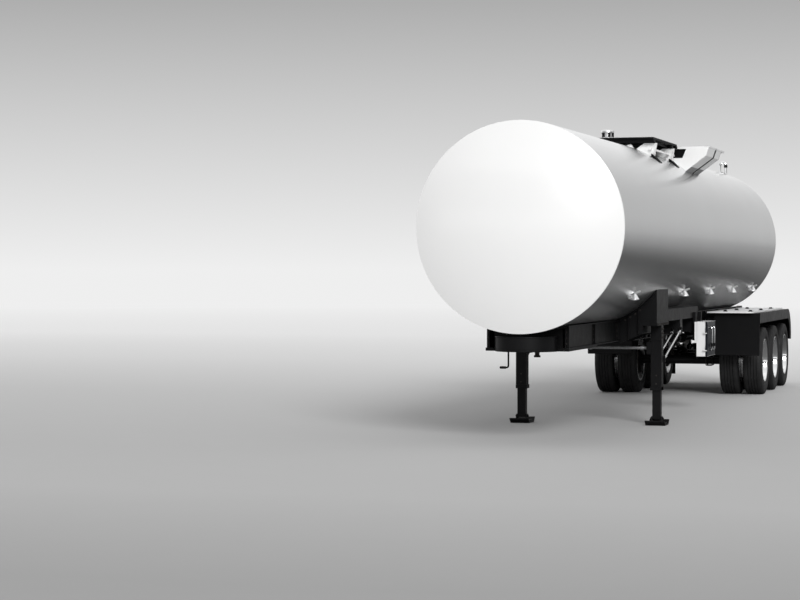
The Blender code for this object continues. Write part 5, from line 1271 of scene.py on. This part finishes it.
def make_landing_gear():
    """Legs with collars and brackets, gearbox covers, the cross shaft, the crank and the sand shoes."""
    for name, side in SIDES.items():
        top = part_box("leg_housing_" + name)[1].z
        leg = Shape()
        bolts = Shape()
        inner, outer = LEG_Y - LEG_HALF, LEG_Y + LEG_HALF
        leg.bar(LEG_X, LEG_HALF, (inner, outer), (LEG_LOW, top), side)
        leg.bar(LEG_X, LEG_HALF + 0.008, (inner - 0.008, outer), (LEG_LOW, LEG_LOW + 0.045), side)
        for x in (LEG_X - LEG_HALF - 0.010, LEG_X + LEG_HALF):
            leg.box((x, inner + 0.006, 1.020), (x + 0.010, outer - 0.002, top), side)
        leg.bar(LEG_X, GEAR_HALF, (inner - GEAR_REACH, inner + 0.01),
                (GEAR_Z - GEAR_HALF, GEAR_Z + GEAR_HALF), side)
        cover = (LEG_X, side * (inner - GEAR_REACH), GEAR_Z)
        bolts.bolts(circle(cover, 0.056, 6, 30, axes=(0, 2)), (0, -side, 0), 0.007, 0.006)
        leg.lathe(GEAR_CAP, move(*cover) @ (ALONG_MINUS_Y if side > 0 else ALONG_Y), 32)
        for z in (1.060, 1.110, 1.160):
            bolts.bolts([(x, side * outer, z) for x in (LEG_X - 0.040, LEG_X + 0.040)],
                        (0, side, 0), 0.011, 0.010)
        bolts.bolts([(LEG_X + LEG_HALF, side * LEG_Y, z) for z in (0.50, 0.60)], (1, 0, 0), 0.007, 0.006)
        if side < 0:
            hand_z = GEAR_Z - CRANK_DROP
            route = [(LEG_X, 0.02 - outer, GEAR_Z), (LEG_X, -CRANK_Y, GEAR_Z), (LEG_X, -CRANK_Y, hand_z),
                     (LEG_X, -CRANK_END_Y, hand_z)]
            leg.tube(bend(route, 0.030), 0.011, 16)
            at = move(LEG_X, -CRANK_Y - 0.030, hand_z) @ ALONG_MINUS_Y
            Shape().lathe(CRANK_GRIP, at, 24, closed=True).build("crank_grip", "chassis_black", "flap_rubber")
            leg.lathe(CRANK_HUB, move(LEG_X, -outer, GEAR_Z) @ ALONG_MINUS_Y, 24)
        leg.build("leg_case_" + name, "chassis_black", bevel=0.003, replaces=("leg_housing_" + name,))
        bolts.build("leg_bolts_" + name, "chassis_black", "cast_iron")
        shoe = Shape()
        shoe.bar(LEG_X, 0.050, (LEG_Y - 0.050, LEG_Y + 0.050), (0.075, LEG_LOW - SEAM), side)
        shoe.prism(SHOE_OUTLINE, move(LEG_X, side * LEG_Y) @ PLANE_XZ, SHOE_WIDTH)
        for y in (LEG_Y - 0.062, LEG_Y + 0.062):
            shoe.prism(SHOE_CHEEK, move(LEG_X, side * y) @ PLANE_XZ, 0.012)
        shoe.rod((LEG_X, side * (LEG_Y - 0.082), 0.080), (LEG_X, side * (LEG_Y + 0.082), 0.080), 0.012, 24)
        for y in (LEG_Y - 0.100, LEG_Y + 0.100):
            shoe.bar(LEG_X, 0.110, (y - 0.004, y + 0.004), (0.018, 0.036), side)
        shoe.build("sand_shoe_" + name, "chassis_black", bevel=0.0015, replaces=("leg_foot_" + name,))
    low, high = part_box("landing_gear_shaft")
    shaft = Shape().rod((LEG_X, low.y, GEAR_Z), (LEG_X, high.y, GEAR_Z), 0.018, 32)
    for y in (low.y + 0.05, 0.0, high.y - 0.09):
        collar = [(0.018, 0.0), (0.026, 0.002), (0.026, 0.038), (0.018, 0.040)]
        shaft.lathe(collar, move(LEG_X, y, GEAR_Z) @ ALONG_Y, 32, closed=True)
        shaft.bolt((LEG_X + 0.026, y + 0.02, GEAR_Z), (1, 0, 0), 0.006, 0.006)
    shaft.build("landing_shaft", "galvanised", replaces=("landing_gear_shaft",))


# Suspension and axles
AXLE_AT = {"front": -3.765, "middle": -5.000, "rear": -6.235}
AXLE_HALF_PITCH = 0.6175
HUB_Z = 0.505
RAIL_MIDDLE = 0.420
LEAF_LOW = 0.5823
LEAF_SAG = 0.1
LEAF_WIDTH = 0.076
# Share of the span, lift above the lowest leaf and thickness
LEAVES = ((0.5, 0.0, 0.0155), (0.8, 0.0165, 0.0155), (0.97, 0.033, 0.0165))
CLAMP_LOW_Z = 0.425
CLAMP_HIGH_Z = 0.675
CLAMP_X = 0.073
CLAMP_Y = 0.046


def make_suspension():
    """Three-leaf springs clamped by U-bolts to the axles, between hangers with pins."""
    for name, side in SIDES.items():
        springs = Shape()
        hangers = Shape()
        y = side * RAIL_MIDDLE
        for x in AXLE_AT.values():
            for share, lift, sheet in LEAVES:
                stations = spaced(-AXLE_HALF_PITCH * share, AXLE_HALF_PITCH * share, 19)
                lower = [(x + s, LEAF_LOW + lift + LEAF_SAG * (s / AXLE_HALF_PITCH) ** 2) for s in stations]
                springs.plate(lower + [(u, v + sheet) for u, v in reversed(lower)], y, LEAF_WIDTH)
            springs.bar(x, 0.080, (RAIL_MIDDLE - 0.050, RAIL_MIDDLE + 0.050), (0.5693, 0.583), side)
            springs.bar(x, 0.085, (RAIL_MIDDLE - 0.052, RAIL_MIDDLE + 0.052), (0.632, 0.650), side)
            for at in (x - CLAMP_X, x + CLAMP_X):
                for edge in (y - CLAMP_Y, y + CLAMP_Y):
                    springs.rod((at, edge, CLAMP_LOW_Z), (at, edge, CLAMP_HIGH_Z), 0.008, 14)
                    springs.bolt((at, edge, 0.650), (0, 0, 1), 0.013, 0.014)
                legs = (CLAMP_LOW_Z + 0.045, CLAMP_LOW_Z)
                route = [(at, y - CLAMP_Y, z) for z in legs] + [(at, y + CLAMP_Y, z) for z in legs[::-1]]
                springs.tube(bend(route, 0.02), 0.008, 14)
        low_z = LEAF_LOW + LEAF_SAG - 0.025
        high_z = FRAME_BOTTOM - SEAM
        for k in range(4):
            x = AXLE_AT["front"] + AXLE_HALF_PITCH - 2 * AXLE_HALF_PITCH * k
            cheek = [(x - 0.060, low_z), (x + 0.060, low_z), (x + 0.100, high_z), (x - 0.100, high_z)]
            for offset in (-0.045, 0.045):
                hangers.plate(cheek, y + offset, 0.010)
            hangers.bar(x, 0.110, (RAIL_MIDDLE - 0.050, RAIL_MIDDLE + 0.050), (0.985, high_z), side)
            hangers.bar(x, 0.005, (RAIL_MIDDLE - 0.041, RAIL_MIDDLE + 0.041), (0.760, 0.990), side)
            for z, radius in ((0.778, 0.018), (0.880, 0.012)):
                hangers.rod((x, y - 0.056, z), (x, y + 0.056, z), radius, 24)
                hangers.bolt((x, y + side * 0.054, z), (0, side, 0), radius * 0.9, 0.012)
            for shift in (-0.075, 0.075):
                hangers.bolt((x + shift, y, 0.985), (0, 0, -1), 0.009, 0.008)
            if 0 < k < 3:
                arm = [(x - 0.150, 0.742), (x + 0.150, 0.742), (x + 0.150, 0.762), (x + 0.040, 0.805),
                       (x - 0.040, 0.805), (x - 0.150, 0.762)]
                hangers.plate(arm, y, 0.060)
        springs.build("leaf_springs_" + name, "chassis_black", "cast_iron", bevel=0.001,
                      replaces=("suspension_" + name,))
        hangers.build("spring_hangers_" + name, "chassis_black", bevel=0.0015)


BRAKE_Y = 0.240
CAN_SETBACK = 0.130
CAN_RISE = 0.085
CAM_REACH = 0.090
# Radius and distance behind the can's front
BRAKE_CAN = ((0.0, 0.0), (0.052, 0.0), (0.070, 0.012), (0.076, 0.040), (0.076, 0.052), (0.080, 0.054),
             (0.080, 0.066), (0.076, 0.068), (0.073, 0.082), (0.073, 0.104), (0.076, 0.110), (0.080, 0.112),
             (0.080, 0.124), (0.076, 0.126), (0.074, 0.150), (0.062, 0.176), (0.030, 0.186), (0.016, 0.190),
             (0.0, 0.190))
# Lift, reach ahead of the can, radius and sides of its studs and pushrod
CAN_RODS = ((-0.045, 0.010, 0.008, 12), (0.045, 0.010, 0.008, 12), (0.0, 0.110, 0.009, 16))
# Radius and distance inside the shield's outer face
DUST_SHIELD = ((0.0, 0.014), (0.100, 0.014), (0.110, 0.008), (0.176, 0.008), (0.188, 0.002), (0.190, 0.0),
               (0.0, 0.0))


def make_axles():
    """Round beams with dust shields, cam tubes, and spring brakes with their levers."""
    for name, x in AXLE_AT.items():
        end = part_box("axle_" + name)[1].y
        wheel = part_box(f"wheel_{name}_left")
        shield = (wheel[0].y + wheel[1].y) / 2 - RIM_HALF - 0.010
        beam = Shape().rod((x, -shield + 0.01, HUB_Z), (x, shield - 0.01, HUB_Z), 0.0635, 48)
        cans = Shape()
        for side in SIDES.values():
            turn = ALONG_Y if side > 0 else ALONG_MINUS_Y
            at = move(x, 0.0, HUB_Z) @ turn
            beam.lathe([(radius, shield - inward) for radius, inward in DUST_SHIELD], at, 56)
            beam.rod((x, side * (shield - 0.002), HUB_Z), (x, side * end, HUB_Z), 0.050, 40)
            beam.bolts(circle((x, side * (shield - 0.014), HUB_Z), 0.088, 10, 18, axes=(0, 2)),
                       (0, -side, 0), 0.009, 0.008)
            can_z = HUB_Z + CAN_RISE
            near = x - CAN_SETBACK
            cans.lathe([(radius, near - back) for radius, back in BRAKE_CAN],
                       move(0.0, side * BRAKE_Y, can_z) @ ALONG_X, 40)
            for lift, reach, radius, steps in CAN_RODS:
                cans.rod((near + reach, side * BRAKE_Y, can_z + lift),
                         (near - 0.004, side * BRAKE_Y, can_z + lift), radius, steps)
            beam.box((near - 0.001, 0.195, HUB_Z - 0.010), (near + 0.011, 0.285, can_z + 0.066), side)
            beam.box((near, 0.215, HUB_Z - 0.025), (x - 0.045, 0.265, HUB_Z + 0.015), side)
            cam = Vector((x + CAM_REACH, 0.0, HUB_Z + 0.045))
            lever = [(x - 0.036, can_z + 0.018), (x - 0.034, can_z - 0.014), (cam.x, cam.z - 0.026),
                     (cam.x + 0.022, cam.z - 0.010), (cam.x + 0.020, cam.z + 0.016), (cam.x, cam.z + 0.026)]
            cans.plate(lever, side * BRAKE_Y, 0.022)
            beam.rod((cam.x, side * 0.215, cam.z), (cam.x, side * (shield - 0.010), cam.z), 0.019, 24)
            beam.box((x + 0.030, shield - 0.160, HUB_Z), (x + 0.114, shield - 0.148, cam.z + 0.024), side)
        beam.build("axle_beam_" + name, "chassis_black", bevel=0.001, replaces=("axle_" + name,))
        cans.build("brake_cans_" + name, "chassis_black", "cast_iron")


# Rear end, discharge line and ladder
TAPES = 14
TAPE_Z = (0.500, 0.550)
BUMPER_Z = (0.460, 0.580)
BUMPER_SHEET = 0.012
LAMP_SHEET = 0.003
TAIL_LAMPS = ((0.480, "red_lens"), (0.340, "clear_lens"), (0.200, "red_lens"))
LAMP_RING = ((0.040, 0.0), (0.056, 0.0), (0.058, 0.006), (0.055, 0.014), (0.050, 0.018), (0.046, 0.014))
TAIL_LENS = ((0.0, 0.002), (0.047, 0.002), (0.047, 0.018), (0.044, 0.026), (0.034, 0.033), (0.016, 0.0362),
             (0.0, 0.0366))


def make_rear_end():
    """Bumper with reflective tape, and round lamps in a bright panel."""
    low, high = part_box("rear_bumper")
    trim = {"red_tape": Shape(), "white_tape": Shape()}
    edges = spaced(low.y + 0.02, high.y - 0.02, TAPES + 1)
    for k, (start, end) in enumerate(zip(edges, edges[1:])):
        tape = trim["red_tape" if k % 2 else "white_tape"]
        tape.box((low.x, start, TAPE_Z[0]), (low.x + 0.0012, end, TAPE_Z[1]))
    bar = Shape()
    face = low.x + 0.001
    foot, head = BUMPER_Z
    bar.box((face, low.y, foot), (face + BUMPER_SHEET, high.y, head))
    for z in (foot, head - BUMPER_SHEET):
        bar.box((face, low.y, z), (high.x, high.y, z + BUMPER_SHEET))
    for y in (low.y, high.y - BUMPER_SHEET):
        bar.box((face, y, foot), (high.x, y + BUMPER_SHEET, head))
    bolts = Shape()
    for side in SIDES.values():
        for y in (0.380, 0.448):
            bar.box((high.x - 0.040, y, 0.470), (high.x, y + 0.012, high.z), side)
        bar.box((high.x - 0.012, 0.380, 0.470), (high.x, 0.460, high.z), side)
        brace = [(high.x - 0.040, 0.580), (high.x, 0.580), (high.x, 0.720)]
        bar.plate(brace, side * 0.500, 0.010)
        bolts.bolts([(high.x - 0.012, side * 0.420, z) for z in (1.060, 1.120, 1.180, 1.240)],
                    (-1, 0, 0), 0.010, 0.009)
    bar.build("bumper_bar", "chassis_black", bevel=0.002, replaces=("rear_bumper",))
    bolts.build("bumper_bolts", "chassis_black", "cast_iron")
    for finish, tape in trim.items():
        tape.build("bumper_" + finish, "chassis_black", finish)
    low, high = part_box("rear_lamp_panel")
    face = high.x - LAMP_SHEET
    panel = Shape().box((face, low.y, low.z), (high.x, high.y, high.z))
    for z in (low.z, high.z - LAMP_SHEET):
        panel.box((high.x - 0.020, low.y, z), (high.x, high.y, z + LAMP_SHEET))
    middle = (low.z + high.z) / 2
    lenses = {"red_lens": Shape(), "clear_lens": Shape(), "amber_lens": Shape()}
    rings = Shape()
    for side in SIDES.values():
        for y, finish in TAIL_LAMPS:
            at = move(face, side * y, middle) @ ALONG_MINUS_X
            rings.lathe(LAMP_RING, at, 40, closed=True)
            lenses[finish].lathe(TAIL_LENS, at, 40)
        panel.bolt((face, side * 0.10, middle), (-1, 0, 0), 0.007, 0.006)
        panel.bolts([(face, side * 0.545, z) for z in (middle + 0.06, middle - 0.06)],
                    (-1, 0, 0), 0.006, 0.005)
    for y in (-0.045, 0.0, 0.045):
        lenses["amber_lens"].lathe([(0.0, 0.0), (0.012, 0.0), (0.011, 0.008), (0.0, 0.011)],
                                   move(face, y, high.z - 0.024) @ ALONG_MINUS_X, 24)
    panel.build("lamp_panel_sheet", "galvanised", bevel=0.0008, replaces=("rear_lamp_panel",))
    rings.build("lamp_rings", "galvanised", "flap_rubber")
    for finish, glass in lenses.items():
        glass.build("tail_" + finish, "galvanised", finish)


PIPE_Z = 0.840
PIPE_JOINT_X = (-3.70, -4.90, -6.10)
PIPE_HANGER_X = (-3.312, -4.516, -5.721)
SUMP_Z = 1.194
# Radius and drop below the sump's height
SUMP = ((0.0, -0.006), (0.160, -0.010), (0.160, 0.040), (0.120, 0.080), (0.086, 0.112), (0.086, 0.125),
        (0.112, 0.125), (0.112, 0.150), (0.086, 0.150), (0.082, 0.200), (0.095, 0.215), (0.095, 0.260),
        (0.070, 0.290), (0.0, 0.292))
OUTLET_FLANGE = ((0.0, 0.0), (0.095, 0.0), (0.095, 0.014), (0.060, 0.016), (0.056, 0.030), (0.0, 0.030))
LEVER_ROUTE = ((0.0, 0.094, 0.960), (0.0, 0.135, 0.960), (0.110, 0.135, 0.960), (0.150, 0.135, 0.935))
LEVER_HUB = ((0.0, 0.0), (0.022, 0.0), (0.022, 0.018), (0.012, 0.022), (0.0, 0.022))


def make_discharge():
    """A turned sump and foot valve, the pipe in its hangers, and a capped flange."""
    low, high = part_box("discharge_line")
    x = high.x - 0.160
    body = Shape().lathe([(radius, SUMP_Z - drop) for radius, drop in SUMP], move(x), 56)
    bolts = Shape()
    for z, way in ((SUMP_Z - 0.125, 1), (SUMP_Z - 0.150, -1)):
        bolts.bolts(circle((x, 0.0, z), 0.099, 8, 22.5), (0, 0, way), 0.008, 0.008)
    route = [(x, 0.0, PIPE_Z + 0.200), (x, 0.0, PIPE_Z), (low.x, 0.0, PIPE_Z)]
    body.tube(bend(route, 0.150, 14), 0.052, 32)
    body.lathe(OUTLET_FLANGE, move(low.x + 0.001, 0.0, PIPE_Z) @ ALONG_X, 48)
    bolts.bolts(circle((low.x + 0.015, 0.0, PIPE_Z), 0.078, 8, 0, axes=(1, 2)), (1, 0, 0), 0.008, 0.008)
    for joint in PIPE_JOINT_X:
        for shift in (0.0, 0.016):
            body.disc(0.078, 0.0, 0.014, move(joint + shift, 0.0, PIPE_Z) @ ALONG_X, 40)
    lever = Shape()
    lever.tube(bend([(x + ahead, y, z) for ahead, y, z in LEVER_ROUTE], 0.02), 0.007, 14)
    lever.lathe(LEVER_HUB, move(x, 0.090, 0.960) @ ALONG_Y, 24)
    hangers = Shape()
    for hang in PIPE_HANGER_X:
        hangers.band(0.0525, 0.057, -0.014, 0.014, move(hang, 0.0, PIPE_Z) @ ALONG_X, 40)
        hangers.bar(hang, 0.014, (-0.004, 0.004), (PIPE_Z + 0.055, FRAME_BOTTOM + 0.010))
    body.build("discharge_pipe", "chassis_black", bevel=0.0008, replaces=("discharge_line",))
    bolts.build("discharge_bolts", "chassis_black", "cast_iron")
    lever.build("valve_lever", "chassis_black", "cast_iron")
    hangers.build("pipe_hangers", "chassis_black", "galvanised")


LADDER_AT = (1.250, 1.650)
LADDER_Y = 1.215
LADDER_BEND_Z = 2.500
LADDER_TOP = 57.0
RUNG_PITCH = 0.300
RAIL_RADIUS = 0.0175
RUNG_RADIUS = 0.012
STAY_ANGLES = (-35, 20, 50)
STAY_PAD = ((0.0, -0.002), (0.045, -0.002), (0.045, 0.006), (0.020, 0.010), (0.0, 0.010))


def make_ladder():
    """Round rails that lean in over the shoulder, ribbed rungs, and stays on pads."""
    foot_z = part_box("side_ladder")[0].z + 0.001
    reach = TANK_RADIUS + 0.085
    bend_angle = math.asin((LADDER_BEND_Z - TANK_AXIS_Z) / TANK_RADIUS)
    path = [(LADDER_Y, foot_z)]
    for angle in spaced(bend_angle, math.radians(LADDER_TOP), 22):
        path.append((reach * math.cos(angle), TANK_AXIS_Z + reach * math.sin(angle)))
    ladder = Shape()
    for x in LADDER_AT:
        ladder.tube([(x, -y, z) for y, z in path], RAIL_RADIUS, 24)
        ladder.disc(0.0205, 0.0, 0.040, move(x, -LADDER_Y, foot_z))
    travelled = RUNG_PITCH / 2
    rungs = []
    for (y0, z0), (y1, z1) in zip(path, path[1:]):
        length = math.hypot(y1 - y0, z1 - z0)
        while travelled <= length:
            share = travelled / length
            rungs.append((y0 + share * (y1 - y0), z0 + share * (z1 - z0)))
            travelled += RUNG_PITCH
        travelled -= length
    for y, z in rungs:
        ladder.rod((LADDER_AT[0], -y, z), (LADDER_AT[1], -y, z), RUNG_RADIUS, 20)
        for k in range(13):
            x = LADDER_AT[0] + 0.045 + k * 0.0258
            ladder.disc(0.0135, -0.004, 0.004, move(x, -y, z) @ ALONG_X, 20)
    for degrees in STAY_ANGLES:
        angle = math.radians(degrees)
        far = reach if degrees > 0 else LADDER_Y / math.cos(angle)
        for x in LADDER_AT:
            points = [(x, -r * math.cos(angle), TANK_AXIS_Z + r * math.sin(angle))
                      for r in (TANK_RADIUS, far)]
            ladder.rod(*points, RUNG_RADIUS, 18)
            outward = Vector((0.0, -math.cos(angle), math.sin(angle)))
            turn = outward.to_track_quat("Z", "X").to_matrix().to_4x4()
            ladder.lathe(STAY_PAD, move(*points[0]) @ turn, 32)
    for x in LADDER_AT:
        root = (x, -BOLSTER_Y - SEAM, SIDE_RAIL_Z)
        ladder.rod(root, (x, -LADDER_Y, SIDE_RAIL_Z), RUNG_RADIUS, 18)
        ladder.disc(0.036, 0.0, 0.008, move(*root) @ ALONG_MINUS_Y, 28)
    ladder.build("ladder_tubes", "galvanised", replaces=("side_ladder",))


NECK_RADIUS = 0.236


def make_neck():
    """Two turned rings on the manhole neck and the bolts between them, but none at the hinge."""
    ring = Shape()
    for z in (3.470, 3.530):
        ring.band(NECK_RADIUS - 0.007, NECK_RADIUS, z - 0.006, z + 0.006, move(MANHOLE_X), 72)
    for spot in circle((MANHOLE_X, 0.0, 3.500), NECK_RADIUS, 16, 11.25):
        outward = (spot[0] - MANHOLE_X, spot[1], 0.0)
        if outward[0] > -0.94 * NECK_RADIUS:
            ring.bolt(spot, outward, 0.008, 0.007)
    ring.build("manhole_rings", "bright_plate")


# Light, floor and camera
def sky_ramp(tree, height, steps):
    """Light that follows the sine of the height above the horizon."""
    ramp = tree.nodes.new("ShaderNodeValToRGB")
    stops = ramp.color_ramp.elements
    while len(stops) < len(steps):
        stops.new(0.5)
    for stop, (place, light) in zip(stops, steps):
        stop.position = place
        stop.color = (light, light, light, 1.0)
    tree.links.new(height, ramp.inputs["Fac"])
    return ramp.outputs["Color"]


def make_world():
    """A pale backdrop for the camera, a studio's ceiling and walls for mirrors, and even soft light."""
    world = bpy.data.worlds.new("studio")
    bpy.context.scene.world = world
    world.use_nodes = True
    tree = world.node_tree
    coordinates = tree.nodes.new("ShaderNodeTexCoord")
    split = tree.nodes.new("ShaderNodeSeparateXYZ")
    tree.links.new(coordinates.outputs["Generated"], split.inputs[0])
    height = split.outputs["Z"]
    mirrored = sky_ramp(tree, height, REAR_BOX_SKY)
    for steps, axis, span in ((REAR_SKY, "Y", REAR_SPAN), (FLAG_SKY, "X", FLAG_SPAN),
                              (FRONT_SKY, "X", FRONT_SPAN)):
        ahead = tree.nodes.new("ShaderNodeMapRange")
        ahead.inputs["From Min"].default_value = span[0]
        ahead.inputs["From Max"].default_value = span[1]
        tree.links.new(split.outputs[axis], ahead.inputs["Value"])
        mirrored = mixed(tree, ahead.outputs["Result"], mirrored, sky_ramp(tree, height, steps))
    path = tree.nodes.new("ShaderNodeLightPath")
    light = (WORLD_LIGHT,) * 3
    for ray, sky in (("Is Glossy Ray", mirrored), ("Is Transmission Ray", mirrored),
                     ("Is Camera Ray", sky_ramp(tree, height, SEEN_SKY))):
        light = mixed(tree, path.outputs[ray], light, sky)
    tree.links.new(light, tree.nodes["Background"].inputs["Color"])


def make_floor():
    mesh = bpy.data.meshes.new("floor")
    reach = 400.0
    mesh.from_pydata([(-reach, -reach, 0), (reach, -reach, 0), (reach, reach, 0), (-reach, reach, 0)], [],
                     [(0, 1, 2, 3)])
    floor = bpy.data.objects.new("floor", mesh)
    bpy.context.scene.collection.objects.link(floor)
    graph = Graph("floor")
    shader = graph.shader
    shader.inputs["Roughness"].default_value = 0.85
    shader.inputs["Specular IOR Level"].default_value = 0.1
    split = graph.node("ShaderNodeSeparateXYZ")
    graph.link(graph.place, split.inputs[0])
    tones = []
    for steps in (FLOOR_SEEN_PAINTED, FLOOR_MIRRORED_SHADE):
        start, end = steps[0][0], steps[-1][0]
        along = graph.remap(split.outputs["X"], start, end, 0.0, 1.0)
        places = [((x - start) / (end - start), tone) for x, tone in steps]
        tones.append(sky_ramp(graph.tree, along, places))
    seen_painted_light, mirrored = tones
    path = graph.node("ShaderNodeLightPath")
    # Mirrors see the floor's painted shade, other rays see its even tone
    lit = graph.mix(path.outputs["Is Glossy Ray"], (FLOOR_LIT,) * 3, mirrored)
    # The camera sees the floor's painted light gradient
    graph.paint(graph.mix(path.outputs["Is Camera Ray"], lit, seen_painted_light))
    graph.gloss(graph.remap(graph.noise(1.5, 5.0), 0.3, 0.7, 0.80, 0.90))
    length = graph.node("ShaderNodeVectorMath", operation="LENGTH")
    graph.link(graph.place, length.inputs[0])
    far = graph.remap(length.outputs["Value"], FLOOR_FADE[0], FLOOR_FADE[1], 0.0, 1.0)
    share = graph.math("MULTIPLY", far, path.outputs["Is Camera Ray"])
    glow = graph.node("ShaderNodeEmission")
    glow.inputs["Color"].default_value = (HORIZON, HORIZON, HORIZON, 1.0)
    blend = graph.node("ShaderNodeMixShader")
    graph.link(share, blend.inputs[0])
    graph.link(shader.outputs[0], blend.inputs[1])
    graph.link(glow.outputs[0], blend.inputs[2])
    output = next(node for node in graph.tree.nodes if node.type == "OUTPUT_MATERIAL")
    graph.link(blend.outputs[0], output.inputs["Surface"])
    mesh.materials.append(graph.material)


def make_lights():
    sun = bpy.data.lights.new("key", "SUN")
    sun.energy = SUN_POWER
    sun.angle = math.radians(SUN_SPREAD)
    obj = bpy.data.objects.new("key", sun)
    bpy.context.scene.collection.objects.link(obj)
    obj.rotation_mode = "QUATERNION"
    obj.rotation_quaternion = Vector(SUN_FROM).to_track_quat("Z", "Y")


def make_camera():
    data = bpy.data.cameras.new("camera")
    data.sensor_width = 36.0
    data.lens = CAMERA_LENS
    data.clip_end = 2000.0
    camera = bpy.data.objects.new("camera", data)
    bpy.context.scene.collection.objects.link(camera)
    yaw, pitch = math.radians(CAMERA_YAW), math.radians(CAMERA_PITCH)
    ahead = Vector((math.cos(yaw) * math.cos(pitch), math.sin(yaw) * math.cos(pitch), math.sin(pitch)))
    camera.location = CAMERA_AT
    camera.rotation_mode = "QUATERNION"
    camera.rotation_quaternion = ahead.to_track_quat("-Z", "Y")
    bpy.context.scene.camera = camera


bpy.context.scene.view_settings.view_transform = "Standard"
make_camera()
make_world()
make_lights()
make_floor()
for row in frame["record"]["subparts"]:
    node = NODES.get(row["node"])
    if node is not None:
        node.material_slots[0].material = MATERIALS[row["material_slot"]]
make_tank()
make_side_lamps()
make_walkway()
make_spill_box()
make_manhole()
make_vents()
make_wheels()
make_fenders()
make_mud_flaps()
make_cabinet()
make_frame("front_frame", 2)
make_frame("rear_frame", 8)
make_coupler()
make_bolster_trim()
make_side_rail_trim()
make_braces()
make_landing_gear()
make_suspension()
make_axles()
make_rear_end()
make_discharge()
make_ladder()
make_neck()
